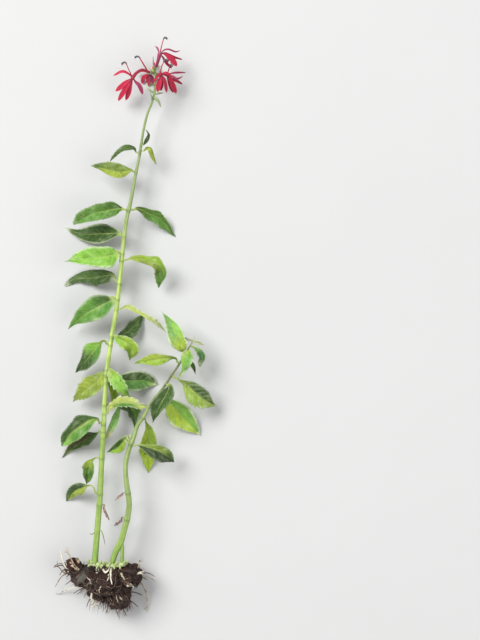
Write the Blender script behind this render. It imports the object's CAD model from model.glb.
"""Looks of an uprooted cardinal flower plant that lies on a pale surface.

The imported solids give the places. Every piece here is rebuilt finer on the same paths: toothed
and veined leaves, ribbed stems, split-lipped red flowers and a tangle of brown and white roots.
Paths are in millimetres in the shared frame: +Y runs from the roots to the flowers, +Z up.
"""

import bisect
import logging
from collections.abc import Callable, Sequence
from dataclasses import dataclass, field, replace
from enum import Enum
from math import cos, exp, pi, radians, sin, sqrt, tan, tau
from random import Random

import bmesh
import bpy
from bpy.types import ID, Material, Mesh, Node, NodeSocket, NodeTree, Object
from mathutils import Matrix, Vector, noise
from mathutils.bvhtree import BVHTree


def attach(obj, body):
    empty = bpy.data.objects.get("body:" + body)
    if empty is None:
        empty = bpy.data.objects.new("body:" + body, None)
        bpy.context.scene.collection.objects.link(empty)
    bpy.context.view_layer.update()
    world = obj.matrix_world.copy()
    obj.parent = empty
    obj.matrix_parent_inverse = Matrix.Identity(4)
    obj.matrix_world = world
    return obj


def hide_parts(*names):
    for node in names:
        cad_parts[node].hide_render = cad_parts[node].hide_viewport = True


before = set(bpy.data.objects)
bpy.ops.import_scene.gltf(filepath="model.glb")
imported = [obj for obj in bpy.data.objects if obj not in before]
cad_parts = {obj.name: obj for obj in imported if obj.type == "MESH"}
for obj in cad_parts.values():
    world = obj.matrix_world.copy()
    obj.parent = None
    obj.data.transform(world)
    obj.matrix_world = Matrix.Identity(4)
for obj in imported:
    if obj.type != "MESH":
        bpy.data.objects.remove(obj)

LOG = logging.getLogger("cardinal_flower")
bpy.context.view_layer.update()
MM = 0.001
SEED = 11
UP = Vector((0.0, 0.0, 1.0))
# How near a round piece may come to the floor, in millimetres
CLEARANCE = 0.05
# Length of a tube, in millimetres, to one unit of its UV map
UV_LENGTH = 10.0
# Side veins on half a leaf, how far they sweep towards the tip, and how they curve
VEIN_PAIRS, VEIN_SWEEP, VEIN_CURVE = 9.0, 0.16, 1.25
# How far a tooth of a leaf stands out at each of its rows
TOOTH = (0.0, 0.3, 0.65, 1.0)
# The type of a node group's socket for places
VECTOR = "NodeSocketVector"

Triple = tuple[float, float, float]
Colour = Triple
Rows = Sequence[Sequence[float]]
Place = Callable[[float, float], tuple[Vector, Colour]]
Size = Callable[[float], float]
Ribs = Callable[[float, float], float]
Tint = Callable[[float, float], Colour]
Tones = tuple["Tone", ...]


class Tone(Enum):
    """Colours mixed by eye for the plant, in display values from 0 to 255."""

    DEEP = (42, 76, 30)
    FOREST = (58, 96, 38)
    LEAF = (84, 128, 48)
    BRIGHT = (140, 196, 74)
    LIME = (152, 184, 60)
    STRAW = (162, 178, 66)
    CREAM = (208, 218, 120)
    OLIVE = (112, 132, 50)
    MOSS = (80, 104, 42)
    SAGE = (78, 108, 56)
    JADE = (88, 144, 66)
    MINT = (122, 170, 92)
    SLATE = (60, 84, 54)
    NIGHT = (32, 54, 38)
    FERN = (50, 82, 40)
    GRASS = (92, 144, 58)
    TEAL = (84, 138, 82)
    KHAKI = (142, 162, 68)
    LEMON = (182, 208, 62)
    BUTTER = (194, 206, 102)
    UMBER = (80, 68, 46)
    BLUSH = (190, 160, 148)
    MILK = (226, 234, 198)
    STALK = (186, 204, 118)
    PALE = (214, 220, 164)
    STEM_TOP = (148, 164, 118)
    STEM_MID = (194, 218, 118)
    STEM_LOW = (156, 184, 96)
    STEM_FOOT = (128, 166, 76)
    STEM_GREY = (150, 170, 110)
    TWIG = (106, 110, 84)
    CROWN = (204, 214, 158)
    CRIMSON = (170, 12, 54)
    SCARLET = (200, 14, 64)
    ROSE = (206, 60, 94)
    WINE = (100, 10, 40)
    PLUM = (166, 56, 98)
    ANTHER = (78, 82, 100)
    TUFT = (250, 250, 246)
    SHRIVEL = (150, 124, 118)
    RUSSET = (112, 76, 72)
    BARK = (66, 48, 42)
    PEAT = (36, 26, 24)
    CLAY = (92, 44, 34)
    RUST = (70, 42, 36)
    MAUVE = (98, 80, 80)
    FELT = (86, 88, 80)
    HUSK = (142, 112, 98)
    IVORY = (242, 234, 212)
    BONE = (196, 180, 152)

    @property
    def linear(self) -> Colour:
        """The tone as the linear values that a shader reads."""
        return tuple(
            v / 255 / 12.92 if v <= 10 else ((v / 255 + 0.055) / 1.055) ** 2.4 for v in self.value
        )

    @property
    def rgba(self) -> tuple[float, float, float, float]:
        """The linear values and a full alpha, as a colour socket takes them."""
        return (*self.linear, 1.0)


def blend(a: Colour, b: Colour, share: float) -> Colour:
    """A colour between two, from `a` at 0 to `b` at 1."""
    t = min(1.0, max(0.0, share))
    return tuple(x + (y - x) * t for x, y in zip(a, b))


def ramp(value: float, low: float, high: float) -> float:
    """A smooth rise from 0 at `low` to 1 at `high`."""
    t = min(1.0, max(0.0, (value - low) / (high - low)))
    return t * t * (3 - 2 * t)


def tones(names: str) -> Tones:
    """The tones of a row of names."""
    return tuple(Tone[name] for name in names.split())


def upright(way: Vector, turn: float) -> Vector:
    """The direction square to `way` nearest to upward, turned about it by `turn` radians."""
    return Matrix.Rotation(turn, 3, way) @ (UP - way * way.z).normalized()


def flutes(count: int, depth: float) -> Ribs:
    """Ridges round a tube: what its radius is multiplied by at a turn and a share."""
    return lambda turn, share: 1 + depth * cos(tau * turn * count)


def jitter(draw: Random, reach: float) -> Vector:
    """A random step of up to `reach` each way along X, Y and Z."""
    return Vector(draw.uniform(-reach, reach) for _ in range(3))


def stand(name: str, data: ID) -> Object:
    """A new object of the scene for a mesh, a light or a camera."""
    made = bpy.data.objects.new(name, data)
    bpy.context.scene.collection.objects.link(made)
    return made


class Spine:
    """A smooth line through a row of points, each x, y, z and at times a radius, in millimetres."""

    def __init__(self, rows: Rows, steps: int = 8) -> None:
        """Fits the line.

        Args:
            rows: The points that it passes, three or four numbers each.
            steps: Straight pieces between two of them.
        """
        knots = [Vector((*r, 0.0)) if len(r) == 3 else Vector(r) for r in rows]
        ends = [knots[0] * 2 - knots[1], *knots, knots[-1] * 2 - knots[-2]]
        self.points: list[Vector] = []
        for a, b, c, d in zip(ends, ends[1:], ends[2:], ends[3:]):
            for step in range(steps):
                t = step / steps
                self.points.append(0.5 * (2 * b + (c - a) * t + (2 * a - 5 * b + 4 * c - d) * t**2
                                          + (3 * b - a - 3 * c + d) * t**3))
        self.points.append(knots[-1])
        flat = [p.to_3d() for p in self.points]
        self.reach = [0.0]
        for a, b in zip(flat, flat[1:]):
            self.reach.append(self.reach[-1] + (b - a).length)
        self.length = self.reach[-1]
        self.sides = self._carry(flat)

    @staticmethod
    def _carry(flat: list[Vector]) -> list[Vector]:
        """Side directions that turn as little as possible from one point to the next."""
        ways = [(b - a).normalized() for a, b in zip(flat, flat[1:])]
        ways.append(ways[-1])
        side = ways[0].cross(UP)
        side = side.normalized() if side.length > 0.01 else Vector((1.0, 0.0, 0.0))
        found = []
        for way in ways:
            side = (side - way * side.dot(way)).normalized()
            found.append(side)
        return found

    def at(self, share: float) -> tuple[Vector, Vector, Vector, float]:
        """The middle, the way on, a side direction and the radius at a share of the length."""
        goal = min(1.0, max(0.0, share)) * self.length
        index = min(max(bisect.bisect_left(self.reach, goal) - 1, 0), len(self.points) - 2)
        a, b = self.points[index], self.points[index + 1]
        span = max(1e-9, self.reach[index + 1] - self.reach[index])
        here = a.lerp(b, min(1.0, (goal - self.reach[index]) / span))
        way = (b - a).to_3d().normalized()
        side = self.sides[index]
        side = (side - way * side.dot(way)).normalized()
        return here.to_3d(), way, side, here.w

    def at_height(self, height: float) -> tuple[Vector, Vector, float]:
        """The middle, the way on and the radius where the line first passes y = `height`."""
        for a, b in zip(self.points, self.points[1:]):
            if a.y <= height <= b.y:
                here = a.lerp(b, (height - a.y) / max(1e-9, b.y - a.y))
                return here.to_3d(), (b - a).to_3d().normalized(), here.w
        raise ValueError(f"the line never passes y = {height}")


class Form:
    """A mesh in the making, from grids that are bent into sheets and tubes."""

    def __init__(self) -> None:
        """Starts an empty mesh with a UV map and a tint for each vertex."""
        self.mesh = bmesh.new()
        self.uv = self.mesh.loops.layers.uv.new("UVMap")
        self.tint = self.mesh.verts.layers.float_color.new("tint")
        self.lift = self.mesh.verts.layers.float_vector.new("lift")

    def grid(
        self, columns: int, rows: int, place: Place, run: float = 1.0
    ) -> list[bmesh.types.BMVert]:
        """Adds a grid and moves each vertex to its place.

        Args:
            columns: Faces across.
            rows: Faces along.
            place: Gives a vertex's place in millimetres and its tint, from a place across
                (-1 to 1) and a share along (0 to 1).
            run: What the UV map counts up to along the grid.

        Returns:
            The vertices that are left after those at the same place are joined.
        """
        grid = bmesh.ops.create_grid(self.mesh, x_segments=columns, y_segments=rows, size=1)
        made = grid["verts"]
        for face in dict.fromkeys(f for v in made for f in v.link_faces):
            face.smooth = True
            for loop in face.loops:
                across, along, _ = loop.vert.co
                loop[self.uv].uv = ((across + 1) / 2, (along + 1) / 2 * run)
        for vert in made:
            where, colour = place(vert.co.x, (vert.co.y + 1) / 2)
            vert.co = where * MM
            vert[self.tint] = (*colour, 1.0)
        bmesh.ops.remove_doubles(self.mesh, verts=made, dist=0.000002)
        return [v for v in made if v.is_valid]

    def sheet(self, columns: int, rows: int, place: Place, thickness: float) -> None:
        """Adds a sheet and thickens it about its own middle.

        Args:
            columns: Faces across.
            rows: Faces along.
            place: Gives a vertex's place and tint, as for a grid.
            thickness: The sheet's thickness in millimetres.
        """
        made = self.grid(columns, rows, place)
        faces = list(dict.fromkeys(f for v in made for f in v.link_faces))
        for face in faces:
            face.normal_update()
        for vert in made:
            vert.normal_update()
            vert[self.lift] = vert.normal * (thickness * MM / 2)
        edges = list(dict.fromkeys(e for v in made for e in v.link_edges))
        grown = bmesh.ops.extrude_face_region(
            self.mesh, geom=[*made, *edges, *faces], use_keep_orig=True
        )
        for vert in made:
            vert.co -= vert[self.lift]
        for vert in (g for g in grown["geom"] if isinstance(g, bmesh.types.BMVert)):
            vert.co += vert[self.lift]

    def tube(
        self, spine: Spine, radius: Size, colour: Tint, sides: int, rings: int,
        ribs: Ribs | None = None,
    ) -> None:
        """Adds a closed round tube along a line.

        Args:
            spine: The line.
            radius: The radius in millimetres at a share of the length.
            colour: The tint at a turn (0 to 1) and a share of the length.
            sides: Faces round.
            rings: Faces along.
            ribs: What the radius is multiplied by at a turn and a share, for ridges.
        """
        def place(across: float, along: float) -> tuple[Vector, Colour]:
            """The place and tint at half a turn either way and a share of the length."""
            middle, way, side, _ = spine.at(along)
            turn = (across + 1) / 2
            angle = tau * turn
            out = side * cos(angle) + side.cross(way) * sin(angle)
            size = radius(along) * (ribs(turn, along) if ribs else 1.0)
            where = middle + out * size
            where.z = max(where.z, CLEARANCE)
            return where, colour(turn, along)

        made = self.grid(sides, rings, place, spine.length / UV_LENGTH)
        rims = list(dict.fromkeys(e for v in made for e in v.link_edges if e.is_boundary))
        if rims:
            bmesh.ops.holes_fill(self.mesh, edges=rims, sides=0)

    def thread(self, spine: Spine, radius: Size, colour: Tint, sides: int, rings: int) -> None:
        """Adds a tube by way of a mesh of its own, which is quicker where there are hundreds."""
        part = Form()
        part.tube(spine, radius, colour, sides, rings)
        data = bpy.data.meshes.new("thread")
        part.mesh.to_mesh(data)
        part.mesh.free()
        self.mesh.from_mesh(data)
        bpy.data.meshes.remove(data)
        self.uv = self.mesh.loops.layers.uv["UVMap"]
        self.tint = self.mesh.verts.layers.float_color["tint"]
        self.lift = self.mesh.verts.layers.float_vector["lift"]

    def piece(self, name: str, material: Material, slot: str, *nodes: str) -> Object:
        """Turns the mesh into a piece of the plant.

        Args:
            name: The piece's name.
            material: Its finish.
            slot: The record's slot that it takes its finish from.
            nodes: The solids that it stands for.

        Returns:
            The finished object.
        """
        bmesh.ops.recalc_face_normals(self.mesh, faces=self.mesh.faces)
        self.mesh.verts.layers.float_vector.remove(self.lift)
        data = bpy.data.meshes.new(name)
        self.mesh.to_mesh(data)
        self.mesh.free()
        data.materials.append(material)
        made = stand(name, data)
        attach(made, "root")
        if nodes:
            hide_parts(*nodes)
        LOG.info("%s: %d faces", name, len(data.polygons))
        return made


class Nodes:
    """Adds shader nodes to a tree and links them."""

    def __init__(self, tree: NodeTree) -> None:
        """Keeps the tree."""
        self.tree = tree

    def add(
        self, kind: str, inputs: dict[str | int, object] | None = None, **settings: object
    ) -> Node:
        """A node of a kind, with its settings made and its inputs fed.

        Args:
            kind: The node's type without its ShaderNode prefix.
            inputs: Values, or output sockets to link, by the input's name or number.
            settings: Properties of the node.

        Returns:
            The node.
        """
        node = self.tree.nodes.new(kind if kind.startswith("NodeGroup") else "ShaderNode" + kind)
        for key, value in settings.items():
            setattr(node, key, value)
        self.feed(node, inputs or {})
        return node

    def feed(self, node: Node, inputs: dict[str | int, object]) -> None:
        """Sets a node's inputs to values, or links them to output sockets."""
        for key, value in inputs.items():
            if isinstance(value, NodeSocket):
                self.tree.links.new(value, node.inputs[key])
            else:
                node.inputs[key].default_value = value

    def maths(self, operation: str, *values: object, clamp: bool = False) -> NodeSocket:
        """The result of a Math node."""
        node = self.add("Math", dict(enumerate(values)), operation=operation, use_clamp=clamp)
        return node.outputs[0]

    def times(self, a: object, b: object) -> NodeSocket:
        """The product of two values."""
        return self.maths("MULTIPLY", a, b)

    def mix(self, share: object, a: object, b: object, how: str = "MIX") -> NodeSocket:
        """The colour between two, by a share or a mask."""
        node = self.add("Mix", {0: share, 6: a, 7: b}, data_type="RGBA", blend_type=how)
        return node.outputs[2]

    def noise(
        self, vector: object, scale: object, detail: float = 4.0, rough: float = 0.6
    ) -> NodeSocket:
        """The grey value of a Noise Texture."""
        values = {"Vector": vector, "Scale": scale, "Detail": detail, "Roughness": rough}
        return self.add("TexNoise", values).outputs[0]

    def band(self, value: object, low: float, high: float) -> NodeSocket:
        """A smooth rise from 0 to 1 as `value` goes from `low` to `high`."""
        values = {"Value": value, "From Min": low, "From Max": high}
        return self.add("MapRange", values, interpolation_type="SMOOTHSTEP").outputs[0]

    def line(self, distance: object, width: object) -> NodeSocket:
        """A line: 1 where the distance from it is 0, down to 0 at a width from it."""
        off = self.maths("DIVIDE", distance, width, clamp=True)
        return self.maths("SUBTRACT", 1.0, off, clamp=True)

    def tint(self) -> NodeSocket:
        """The colour that the mesh carries."""
        return self.add("Attribute", attribute_name="tint").outputs["Color"]

    def uv(self) -> NodeSocket:
        """The place on the piece's UV map."""
        return self.add("UVMap", uv_map="UVMap").outputs[0]

    def place(self) -> NodeSocket:
        """The place in the object's own coordinates."""
        return self.add("TexCoord").outputs["Object"]


@dataclass(frozen=True)
class Socket:
    """One socket of a node group."""

    name: str
    value: float | None = None
    kind: str = "NodeSocketFloat"


def new_group(
    name: str, inputs: Sequence[Socket], outputs: Sequence[Socket]
) -> tuple[NodeTree, Nodes, Node, Node]:
    """An empty shader node group.

    Args:
        name: The group's name.
        inputs: Its named inputs.
        outputs: Its named outputs.

    Returns:
        The group, a helper for its nodes, its input node and its output node.
    """
    tree = bpy.data.node_groups.new(name, "ShaderNodeTree")
    for sockets, way in ((inputs, "INPUT"), (outputs, "OUTPUT")):
        for socket in sockets:
            made = tree.interface.new_socket(socket.name, in_out=way, socket_type=socket.kind)
            if socket.value is not None:
                made.default_value = socket.value
    nodes = Nodes(tree)
    return tree, nodes, nodes.add("NodeGroupInput"), nodes.add("NodeGroupOutput")


def mottle_group() -> NodeTree:
    """Soft blotches and fine specks over a surface, as two masks and a height."""
    tree, nodes, start, end = new_group(
        "mottle",
        (Socket("Vector", kind=VECTOR), Socket("Blotches", 60.0), Socket("Specks", 900.0)),
        (Socket("Blotch"), Socket("Speck"), Socket("Height")),
    )
    given = start.outputs
    blotch = nodes.band(nodes.noise(given["Vector"], given["Blotches"]), 0.35, 0.65)
    speck = nodes.band(nodes.noise(given["Vector"], given["Specks"], 3.0, 0.7), 0.35, 0.7)
    height = nodes.maths("MULTIPLY_ADD", blotch, 0.5, nodes.times(speck, 0.5))
    nodes.feed(end, {"Blotch": blotch, "Speck": speck, "Height": height})
    return tree


def vein_group() -> NodeTree:
    """The veins of a leaf from its UV map: a midrib, curved side veins and a fine net."""
    tree, nodes, start, end = new_group(
        "leaf_veins",
        (Socket("UV", kind=VECTOR), Socket("Pairs", VEIN_PAIRS), Socket("Sweep", VEIN_SWEEP)),
        (Socket("Midrib"), Socket("Side veins"), Socket("Net"), Socket("Quilt"), Socket("Height")),
    )
    given = start.outputs
    turn, along, _ = nodes.add("SeparateXYZ", {0: given["UV"]}).outputs
    across = nodes.maths("ABSOLUTE", nodes.maths("MULTIPLY_ADD", turn, 2.0, -1.0))
    # The side veins of the two halves alternate, and the 20 keeps their count above zero
    half = nodes.times(nodes.maths("GREATER_THAN", turn, 0.5), 0.5)
    swept = nodes.times(nodes.maths("POWER", across, VEIN_CURVE), given["Sweep"])
    turns = nodes.times(nodes.maths("SUBTRACT", along, swept), given["Pairs"])
    phase = nodes.maths("FRACT", nodes.maths("ADD", nodes.maths("ADD", turns, half), 20.0))
    off = nodes.maths("ABSOLUTE", nodes.maths("SUBTRACT", phase, 0.5))
    side = nodes.line(off, nodes.maths("MULTIPLY_ADD", across, -0.05, 0.09))
    side = nodes.times(side, nodes.band(across, 1.0, 0.8))
    rib = nodes.line(across, nodes.maths("MULTIPLY_ADD", along, -0.05, 0.09))
    stretched = nodes.add("Mapping", {"Vector": given["UV"], "Scale": (14.0, 42.0, 1.0)})
    cells = {"Vector": stretched.outputs[0], "Scale": 1.0}
    walls = nodes.add("TexVoronoi", cells, feature="DISTANCE_TO_EDGE").outputs["Distance"]
    net = nodes.band(walls, 0.1, 0.0)
    quilt = nodes.times(nodes.band(phase, 0.5, 1.0), nodes.band(across, 0.0, 0.25))
    large = nodes.maths("ADD", rib, side, clamp=True)
    lines = nodes.maths("ADD", large, nodes.times(net, 0.35))
    height = nodes.maths("SUBTRACT", 1.0, lines)
    masks = {"Midrib": rib, "Side veins": side, "Net": net, "Quilt": quilt}
    nodes.feed(end, {**masks, "Height": height})
    return tree


def streak_group() -> NodeTree:
    """Long streaks down a tube or a petal from its UV map, as a mask and a height."""
    tree, nodes, start, end = new_group(
        "streaks",
        (Socket("UV", kind=VECTOR), Socket("Across", 18.0), Socket("Along", 0.6)),
        (Socket("Streak"), Socket("Height")),
    )
    given = start.outputs
    turn, along, _ = nodes.add("SeparateXYZ", {0: given["UV"]}).outputs
    angle = nodes.times(turn, tau)
    radius = nodes.maths("DIVIDE", given["Across"], tau)
    wrapped = nodes.add("CombineXYZ", {
        0: nodes.times(nodes.maths("COSINE", angle), radius),
        1: nodes.times(nodes.maths("SINE", angle), radius),
        2: nodes.times(along, given["Along"]),
    })
    lines = nodes.noise(wrapped.outputs[0], 1.0, 5.0, 0.65)
    nodes.feed(end, {"Streak": nodes.band(lines, 0.38, 0.66), "Height": lines})
    return tree


@dataclass(frozen=True)
class Finish:
    """What every finish shares: its name, its gloss, and how deep its bumps are."""

    name: str
    roughness: float = 0.5
    specular: float = 0.4
    bump_mm: float = 0.1

    def start(self) -> tuple[Material, Nodes, Node]:
        """A new material, a helper for its nodes, and its Principled shader."""
        made = bpy.data.materials.new(self.name)
        made.use_nodes = True
        shader = made.node_tree.nodes["Principled BSDF"]
        shader.inputs["Specular IOR Level"].default_value = self.specular
        return made, Nodes(made.node_tree), shader

    def close(
        self, nodes: Nodes, shader: Node, colour: object, rough: object, height: object
    ) -> None:
        """Feeds a shader its colour, its roughness and a bump from a height."""
        bump = nodes.add("Bump", {"Height": height, "Strength": 1.0, "Distance": self.bump_mm * MM})
        nodes.feed(shader, {"Base Color": colour, "Roughness": rough, "Normal": bump.outputs[0]})


@dataclass(frozen=True)
class LeafFinish(Finish):
    """A green leaf: its own tint, pale veins, blotches and small brown specks."""

    blotches: float = 170.0
    blotch_share: float = 0.45
    specks: float = 520.0
    speck_share: float = 0.6
    shade: Colour = (0.13, 0.27, 0.08)
    light: Colour = (0.50, 0.66, 0.26)
    quilt_share: float = 0.35
    side_vein_share: float = 0.5
    midrib_share: float = 0.85
    net_share: float = 0.14
    blight: Tone = Tone.BARK
    blight_scale: float = 330.0
    blight_share: float = 0.6

    def build(self, veins: NodeTree, mottle: NodeTree) -> Material:
        """The material, from the vein and mottle groups."""
        made, nodes, shader = self.start()
        tint, place = nodes.tint(), nodes.place()
        vein = nodes.add("Group", {"UV": nodes.uv()}, node_tree=veins).outputs
        scales = {"Vector": place, "Blotches": self.blotches, "Specks": self.specks}
        spots = nodes.add("Group", scales, node_tree=mottle).outputs
        shade = nodes.mix(0.62, tint, (*self.shade, 1.0), "MULTIPLY")
        light = nodes.mix(0.16, tint, (*self.light, 1.0))
        base = nodes.mix(nodes.times(spots["Blotch"], self.blotch_share), tint, shade)
        base = nodes.mix(nodes.times(spots["Speck"], self.speck_share), base, light)
        base = nodes.mix(nodes.times(vein["Quilt"], self.quilt_share), base, shade)
        lines = nodes.times(vein["Side veins"], self.side_vein_share)
        lines = nodes.maths("MAXIMUM", lines, nodes.times(vein["Midrib"], self.midrib_share))
        lines = nodes.maths("MAXIMUM", lines, nodes.times(vein["Net"], self.net_share))
        base = nodes.mix(lines, base, nodes.mix(0.55, tint, Tone.STALK.rgba))
        dots = nodes.band(nodes.noise(place, self.blight_scale, 2.0, 0.5), 0.66, 0.71)
        base = nodes.mix(nodes.times(dots, self.blight_share), base, self.blight.rgba)
        rough = nodes.maths("MULTIPLY_ADD", spots["Speck"], 0.2, self.roughness - 0.1)
        height = nodes.maths("MULTIPLY_ADD", spots["Height"], 0.3, vein["Height"])
        self.close(nodes, shader, base, rough, height)
        return made


@dataclass(frozen=True)
class TissueFinish(Finish):
    """Stems, sepals, buds, tubes and roots: a tint with long streaks and fine specks."""

    dark: Tone = Tone.FOREST
    streak_share: float = 0.4
    across: float = 18.0
    along: float = 0.5
    sheen: float = 0.0
    blotches: float = 160.0
    blotch_share: float = 0.25
    specks: float = 1400.0
    speck_share: float = 0.18
    light: Colour = (0.8, 0.8, 0.6)

    def build(self, streaks: NodeTree, mottle: NodeTree) -> Material:
        """The material, from the streak and mottle groups."""
        made, nodes, shader = self.start()
        shader.inputs["Sheen Weight"].default_value = self.sheen
        tint = nodes.tint()
        scales = {"UV": nodes.uv(), "Across": self.across, "Along": self.along}
        lines = nodes.add("Group", scales, node_tree=streaks).outputs
        scales = {"Vector": nodes.place(), "Blotches": self.blotches, "Specks": self.specks}
        spots = nodes.add("Group", scales, node_tree=mottle).outputs
        dark = nodes.mix(0.6, tint, self.dark.rgba)
        pale = nodes.mix(0.3, tint, (*self.light, 1.0))
        base = nodes.mix(nodes.times(lines["Streak"], self.streak_share), tint, dark)
        base = nodes.mix(nodes.times(spots["Blotch"], self.blotch_share), base, dark)
        base = nodes.mix(nodes.times(spots["Speck"], self.speck_share), base, pale)
        rough = nodes.maths("MULTIPLY_ADD", spots["Height"], 0.25, self.roughness - 0.12)
        height = nodes.maths("MULTIPLY_ADD", spots["Height"], 0.5, lines["Height"])
        self.close(nodes, shader, base, rough, height)
        return made


@dataclass(frozen=True)
class SoilFinish(Finish):
    """Matted fibre and crumbs of soil: dark, with reddish and pale flecks."""

    blotches: float = 130.0
    blotch_share: float = 0.5
    specks: float = 900.0
    patches: float = 60.0
    crumbs: float = 700.0
    crumb_share: float = 0.35

    def build(self, mottle: NodeTree) -> Material:
        """The material, from the mottle group."""
        made, nodes, shader = self.start()
        place = nodes.place()
        scales = {"Vector": place, "Blotches": self.blotches, "Specks": self.specks}
        spots = nodes.add("Group", scales, node_tree=mottle).outputs
        peaty = nodes.times(spots["Blotch"], self.blotch_share)
        base = nodes.mix(peaty, nodes.tint(), Tone.PEAT.rgba)
        patch = nodes.band(nodes.noise(place, self.patches), 0.5, 0.66)
        base = nodes.mix(patch, base, Tone.BARK.rgba)
        crumb = nodes.add("TexVoronoi", {"Vector": place, "Scale": self.crumbs}).outputs["Distance"]
        flecks = nodes.times(nodes.band(crumb, 0.32, 0.10), self.crumb_share)
        base = nodes.mix(flecks, base, Tone.HUSK.rgba)
        rough = nodes.maths("MULTIPLY_ADD", spots["Speck"], 0.15, self.roughness)
        height = nodes.maths("MULTIPLY_ADD", crumb, -0.8, spots["Height"])
        self.close(nodes, shader, base, rough, height)
        return made


TISSUES: tuple[TissueFinish, ...] = (
    TissueFinish("withered_leaf", 0.85, 0.2, 0.3, Tone.BARK, 0.6),
    TissueFinish("stem", 0.5, 0.24, 0.14, Tone.FOREST, 0.6, 14.0, 0.35),
    TissueFinish("petal", 0.55, 0.2, 0.10, Tone.WINE, 0.5, 22.0, 1.4, 0.12),
    TissueFinish("anther", 0.6, 0.3, 0.08, Tone.SLATE, 0.6, 10.0, 0.5),
    TissueFinish("tuft", 0.7, 0.2, 0.02, Tone.BONE, 0.15, 4.0, 0.5),
    TissueFinish("root", 0.72, 0.25, 0.12, Tone.BARK, 0.5, 8.0, 0.8),
)


@dataclass(frozen=True)
class Finishes:
    """Every finish of the plant, built once."""

    leaf: Material
    withered_leaf: Material
    stem: Material
    petal: Material
    anther: Material
    tuft: Material
    root: Material
    soil: Material

    @classmethod
    def build(cls) -> "Finishes":
        """Builds the shared groups and then each material."""
        veins, mottle, streaks = vein_group(), mottle_group(), streak_group()
        return cls(
            leaf=LeafFinish("leaf", 0.6, 0.14, 0.30).build(veins, mottle),
            soil=SoilFinish("soil", 0.82, 0.15, 0.6).build(mottle),
            **{tissue.name: tissue.build(streaks, mottle) for tissue in TISSUES},
        )


# Middle lines of the stems, from the crown upwards: x, y, z and radius
MAIN_LINE: Rows = (
    (-39.3, -233, 30, 3), (-38, -215, 30, 2.9), (-36, -190, 29.5, 2.8),
    (-34.2, -165, 29, 2.7), (-32, -120, 28, 2.5), (-30.5, -90, 27.5, 2.35),
    (-28.9, -60, 27, 2.3), (-27, -38, 27, 2.3), (-22.9, -8, 26.5, 2.25),
    (-18.5, 18, 26, 2.2), (-15, 45, 26, 2.1), (-12.3, 75, 25.5, 2),
    (-8.5, 108, 25, 1.9), (-4, 128, 24.5, 1.8), (0.5, 153, 24, 1.5),
    (5, 175, 24, 1.35), (8.5, 198, 23.5, 1.22), (12.5, 215, 23.5, 1.2),
    (18, 230, 23.5, 1.2), (20.4, 242, 24, 1.2), (20.3, 258, 24.5, 1),
)
SIDE_LINE: Rows = (
    (-22.8, -233.8, 30, 2.5), (-18, -220.5, 30.5, 2.9), (-13.5, -211.5, 31, 3),
    (-9.8, -199, 31.5, 2.9), (-6.5, -186, 32, 2.8), (-4.8, -172, 32.5, 2.7),
    (-7.4, -152, 33, 2.55), (-8.3, -135, 33, 2.45), (-5, -119, 33, 2.4),
    (-0.4, -107, 33, 2.2), (3.5, -95, 33, 1.95), (10.5, -84.5, 32.5, 1.65),
    (17, -73, 32, 1.45), (24, -64, 32, 1.3), (31, -55, 32, 1.2),
    (37.5, -45, 32, 1.1), (45, -34, 32, 1), (51, -23, 32, 0.85),
    (56.5, -15, 32, 0.65), (60, -7, 32, 0.4),
)
PRONG_LINE: Rows = ((-12.2, -233.5, 30, 1.9), (-11.8, -219, 30.5, 1.9), (-12.6, -209, 31, 1.6))
CROWN_LINE: Rows = (
    (-45.5, -231.5, 29, 1.8), (-39, -233, 30, 3.6), (-30, -234.5, 30, 3),
    (-21.5, -234, 30, 3.2), (-12.5, -233.5, 30, 3.2), (-7, -232, 29, 1.6),
)
# Tones of the stems at heights from the foot upwards
MAIN_TONES: tuple[tuple[float, Tone], ...] = (
    (-233, Tone.STEM_FOOT), (-205, Tone.STEM_LOW), (-120, Tone.STEM_LOW), (-70, Tone.STEM_MID),
    (60, Tone.STEM_MID), (130, Tone.STEM_TOP), (258, Tone.STEM_TOP),
)
SIDE_TONES: tuple[tuple[float, Tone], ...] = (
    (-234, Tone.STEM_FOOT), (-205, Tone.STEM_LOW), (-180, Tone.STEM_GREY), (-66, Tone.STEM_GREY),
    (-50, Tone.TWIG), (-28, Tone.TWIG), (-17, Tone.PALE), (-7, Tone.CREAM),
)


class Kind(Enum):
    """How light a leaf is, as the record's slot for its finish."""

    DARK = "leaf_dark"
    MID = "leaf_mid"
    LIGHT = "leaf_light"
    WITHERED = "leaf_withered"


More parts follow.
